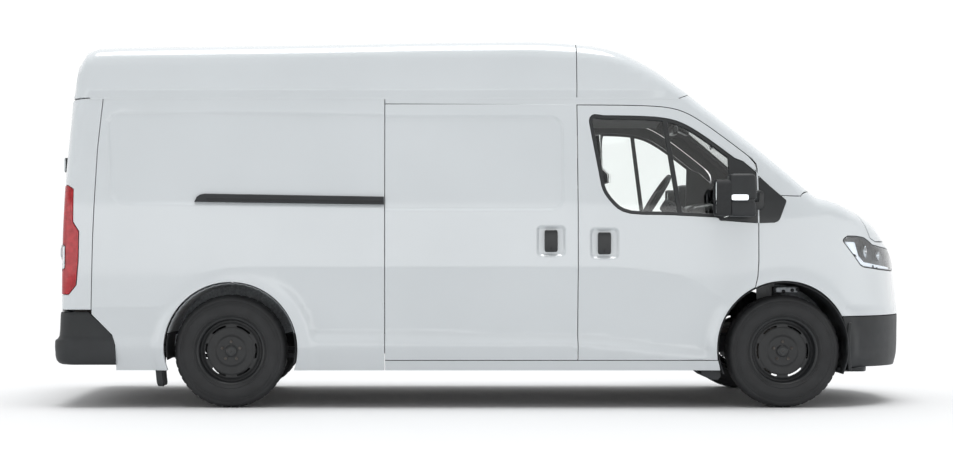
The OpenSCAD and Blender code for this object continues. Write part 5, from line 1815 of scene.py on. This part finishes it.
def dashboard():
    half, cols = 872, 49
    line = [(-330, 792), (-372, 880), (-418, 962), (-432, 1030), (-438, 1086), (-424, 1120), (-398, 1146),
        (-376, 1166), (-300, 1184), (-200, 1196), (-60, 1213), (0, 1192), (18, 1160), (18, 1000), (18, 800)]
    outer, inner = [], []
    for x, z in line:
        row, under = [], []
        for j in range(cols):
            y = half * (2 * j / (cols - 1) - 1)
            hood = exp(-((y - 430) / 190) ** 2) * 10 * (z > 1100) * (x < -150)
            scoop = 16 * exp(-(y / 130) ** 2) * (x < -380) * (z > 900)
            pocket = 10 * clamp01(np.array([(abs(y) - 640) / 60]))[0] * (x < -380)
            dx = scoop + pocket
            row.append((frontX + x + dx, y, z - 14 + hood))
            under.append((frontX + x + dx + (14 if x < -60 else -14), y, z - 30 + hood))
        outer.append(row)
        inner.append(under)
    done(gridSolid("dashboard_top", outer, inner, [cabTrim]), "body", ["dashboard"])
    for side, label in ((1, "left"), (-1, "right")):
        done(puff(f"dashboard_cheek_{label}", (frontX - 200, side * 868, 990), (430, 12, 380), [cabTrim],
            (0.3, 0.3), (36, 16), lambda x, y, z: (x * (1 - 0.25 * max(0, -z) / 190), y, z)), "body")
    done(puff("instrument_binnacle", (frontX - 330, 430, 1212), (190, 340, 110), [smoothPlastic], (0.4, 0.5),
        (40, 18), lambda x, y, z: (x, y, z + 0.15 * x)))
    done(puff("centre_screen", (frontX - 432, 0, 1085), (16, 250, 140), [smoothPlastic], (0.15, 0.2),
        (36, 14), lambda x, y, z: (x + 0.3 * z, y, z)))
    for k, y in enumerate((-700, -170, 170, 700)):
        done(puff(f"air_vent_{k + 1}", (frontX - 425, y, 1088), (18, 120, 60), [smoothPlastic], (0.3, 0.3),
            (32, 14), lambda x, y, z: (x + 0.3 * z, y, z)))
        for j in range(4):
            done(puff(f"air_vent_{k + 1}_slat_{j + 1}", (frontX - 433 + 0.3 * (j - 1.5) * 12, y,
                1088 + (j - 1.5) * 12), (10, 104, 3), [cabTrim], (0.3, 0.5), (20, 8)), "body")
    done(tube("gear_lever", [(frontX - 420, 40, 1000), (frontX - 450, 40, 1010), (frontX - 490, 40, 1024)],
        [24, 14, 9], [sealRubber], 16))
    done(puff("gear_knob", (frontX - 500, 40, 1034), (46, 44, 56), [smoothPlastic], (0.8, 0.8), (24, 16)))


dashboard()


def steeringWheel():
    a = radians(cab["columnTilt"])
    centre = np.array([cab["wheelX"], cab["wheelY"], cab["wheelZ"]], float)
    axis = np.array([-cos(a), 0, sin(a)])
    across, up = np.array([0.0, 1.0, 0.0]), np.array([sin(a), 0, cos(a)])

    def at(r, t, h=0.0):
        return centre + across * r * cos(t) + up * r * sin(t) + axis * h
    done(tube("steering_wheel_rim", [at(179, t) for t in np.linspace(0, 2 * pi, 72, False)],
        [14.5 + 0.5 * cos(3 * t) for t in np.linspace(0, 2 * pi, 72, False)], [cabTrim], 16, True),
        "steering_wheel", ["steering_wheel"])
    for k, t in enumerate((0.05, pi - 0.05, -pi / 2)):
        done(tube(f"steering_spoke_{k + 1}", [at(40, t, -6), at(90, t, -8), at(140, t, -5), at(172, t, -1)],
            [17, 14, 10, 9], [smoothPlastic], 16), "steering_wheel")

    def turned(x, y, z):
        return tuple(across * x + up * y + axis * z)
    done(tube("steering_column_cowl", [centre - axis * t for t in (62, 70, 110, 170, 240, 330)],
        [34, 42, 50, 54, 58, 60], [cabTrim], 24), "body")
    for s in (1, -1):
        root = centre - axis * 96
        done(tube(f"column_stalk_{'left' if s > 0 else 'right'}", [root + across * s * t + up * t * 0.12
            for t in (40, 90, 140)], [7, 6, 8], [smoothPlastic], 12))
    done(puff("steering_wheel_pad", centre, (150, 128, 42), [cabTrim], (0.7, 0.6), (40, 20), turned),
        "steering_wheel")


steeringWheel()


def sheath(name, profile, centre, width, materials, bulge, corner, cols=33):
    # a pad lofted across the cab: the side profile shrinks and rounds towards both ends
    pts = resample(np.array(rounded(profile, corner, 4), float), 14, True)
    if signedArea(pts) < 0:
        pts = pts[::-1]
    mid = pts.mean(0)
    ahead, back = np.roll(pts, -1, 0), np.roll(pts, 1, 0)
    tangent = ahead - back
    normal = np.stack([tangent[:, 1], -tangent[:, 0]], 1) / np.linalg.norm(tangent, axis=1, keepdims=True)
    verts, n = [], len(pts)
    for j in range(cols):
        f = 2 * j / (cols - 1) - 1
        w = sin(f * pi / 2)
        inset = (1 - sqrt(max(0.0, 1 - abs(w) ** 6))) * min(24, corner)
        swell = bulge * (1 - w * w)
        ring = pts - normal * (inset + bulge - swell)
        verts += [(centre[0] + p[0], centre[1] + w * width / 2, centre[2] + p[1]) for p in ring]
    faces = []
    for j in range(cols - 1):
        for i in range(n):
            a, b = j * n + i, j * n + (i + 1) % n
            faces.append((a, b, b + n, a + n))
    faces += [tuple(range(n))[::-1], tuple((cols - 1) * n + i for i in range(n))]
    obj = meshObject(name, verts, faces, materials)
    fixNormals(obj)
    return obj


def seamCord(name, points, body="body"):
    return done(tube(name, points, 2.2, [sealRubber], 8), body)


def seat(label, y, width, places, nodes=()):
    sx = cab["seatX"]
    done(sheath(f"seat_base_{label}", [(0, 480), (470, 480), (470, 700), (0, 700)], (sx + 20, y, 0),
        width - 40, [cabTrim], 2, 30), "body", nodes)
    share = width / places
    for k in range(places):
        cy = y - width / 2 + share * (k + 0.5)
        tag = f"{label}_{k + 1}" if places > 1 else label
        cushion = sheath(f"seat_cushion_{tag}", [(40, 712), (515, 712), (548, 770), (520, 832), (300, 812),
            (150, 806), (40, 812)], (sx, cy, 0), share - 8, [seatCloth], 9, 34)
        done(cushion, "body")
        back = sheath(f"seat_back_{tag}", [(128, 800), (150, 830), (30, 1340), (-10, 1356), (-58, 1340),
            (-52, 1200), (-8, 760), (60, 730)], (sx, cy, 0), share - 8, [seatCloth], 9, 30)
        done(back, "body")
        rest = sheath(f"headrest_{tag}", [(14, 1372), (20, 1440), (0, 1532), (-50, 1540), (-78, 1500),
            (-72, 1380)], (sx, cy, 0), 250, [seatCloth], 6, 24)
        done(rest, "body")
        for s in (1, -1):
            done(tube(f"headrest_post_{tag}_{'left' if s > 0 else 'right'}",
                [(sx - 30, cy + s * 62, 1320), (sx - 30, cy + s * 62, 1352), (sx - 32, cy + s * 62, 1385)], 6,
                [brightMetal], 12), "body")
        for j, off in enumerate((-0.27, 0.27)):
            yy = cy + off * share
            seamCord(f"seat_seam_{tag}_{j + 1}", [(sx + 60, yy, 813), (sx + 150, yy, 807),
                (sx + 300, yy, 812), (sx + 420, yy, 822), (sx + 500, yy, 830)])
            seamCord(f"back_seam_{tag}_{j + 1}", [(sx + 132, yy, 870), (sx + 108, yy, 980),
                (sx + 80, yy, 1100), (sx + 52, yy, 1220), (sx + 34, yy, 1300)])


seat("driver", 430, 520, 1, ["seats"])
seat("passenger", -370, 800, 2)
print("cab fitted")


# cowl, wipers and trim behind the screen
def cowl():
    z0 = van["bonnetHeight"]
    rows = []
    for x, z in ((-148, -94), (-110, -80), (-60, -74), (-10, -72), (2, -84), (2, -104)):
        rows.append([(cowlX + x - 40 * (y / 700) ** 2, y, z0 + z - 12 * (y / 700) ** 2 - 3 * (1 + cos(y / 16))
            * (-120 < x < -20)) for y in np.linspace(-698, 698, 140)])
    under = [[(p[0], p[1], p[2] - 8) for p in row] for row in rows]
    done(gridSolid("cowl_strip", rows, under, [grainedPlastic]), "body", ["cowl"])


cowl()


def wiper(name, y0, y1):
    chart = topChart()
    start = castSkin(*chart["rays"](np.array([[cowlX - 10, y0]])))[0]
    xs = np.array([[cowlX - 24 - 36 * f * (1 - f) * 4 * 0.6, y0 + (y1 - y0) * f]
        for f in np.linspace(0, 1, 16)])
    line = castSkin(*chart["rays"](xs)) + np.array([0, 0, 9.0])
    done(tube(name + "_arm", [start + np.array([6, 0, -4]), start + np.array([0, 0, 14])]
        + [p + np.array([3, 0, 8]) for p in line[2:10]], [9, 8] + [6] * 8, [smoothPlastic], 12))
    done(tube(name + "_blade", line, 5.5, [sealRubber], 10))


wiper("wiper_driver", 560, -40)
wiper("wiper_passenger", -60, -620)


def insideMirror():
    done(puff("inside_mirror", (headerX - 10, 0, 1740), (40, 240, 66), [smoothPlastic], (0.4, 0.5), (36, 18)),
        "body")
    done(puff("sensor_shroud", (headerX + 36, 0, 1758), (110, 120, 70), [smoothPlastic], (0.5, 0.5), (32, 18),
        lambda x, y, z: (x, y, z - 0.5 * x)), "body")


insideMirror()


def cabLining():
    # roof lining and header, a thin shell below the roof of the cab
    rows = []
    for f in np.linspace(0, 1, 18):
        x = postX - 90 + (headerX - 40 - (postX - 90)) * f
        row = []
        for g in np.linspace(-1, 1, 21):
            y = g * 690
            z = min(1840.0, float(topZ(x)) - 74) - 40 * abs(g) ** 3
            row.append((x, y, z))
        rows.append(row)
    under = [[(p[0], p[1], p[2] - 6) for p in row] for row in rows]
    done(gridSolid("roof_lining", rows, under, [headliner]), "body")


cabLining()
print("cowl and trim made")

# finishes of the kept solids
finishes = {"load_floor": plywood, "bulkhead": primerWhite, "motor": castAlloy, "chassis_frame": chassisSteel,
    "front_axle": chassisSteel, "rear_axle": chassisSteel, "tow_socket": chassisSteel,
    "knuckle_left": castIron, "knuckle_right": castIron}
for node, finish in finishes.items():
    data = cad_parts[node].data
    data.materials.clear()
    data.materials.append(finish)
print("kept solids finished")

low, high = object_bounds()
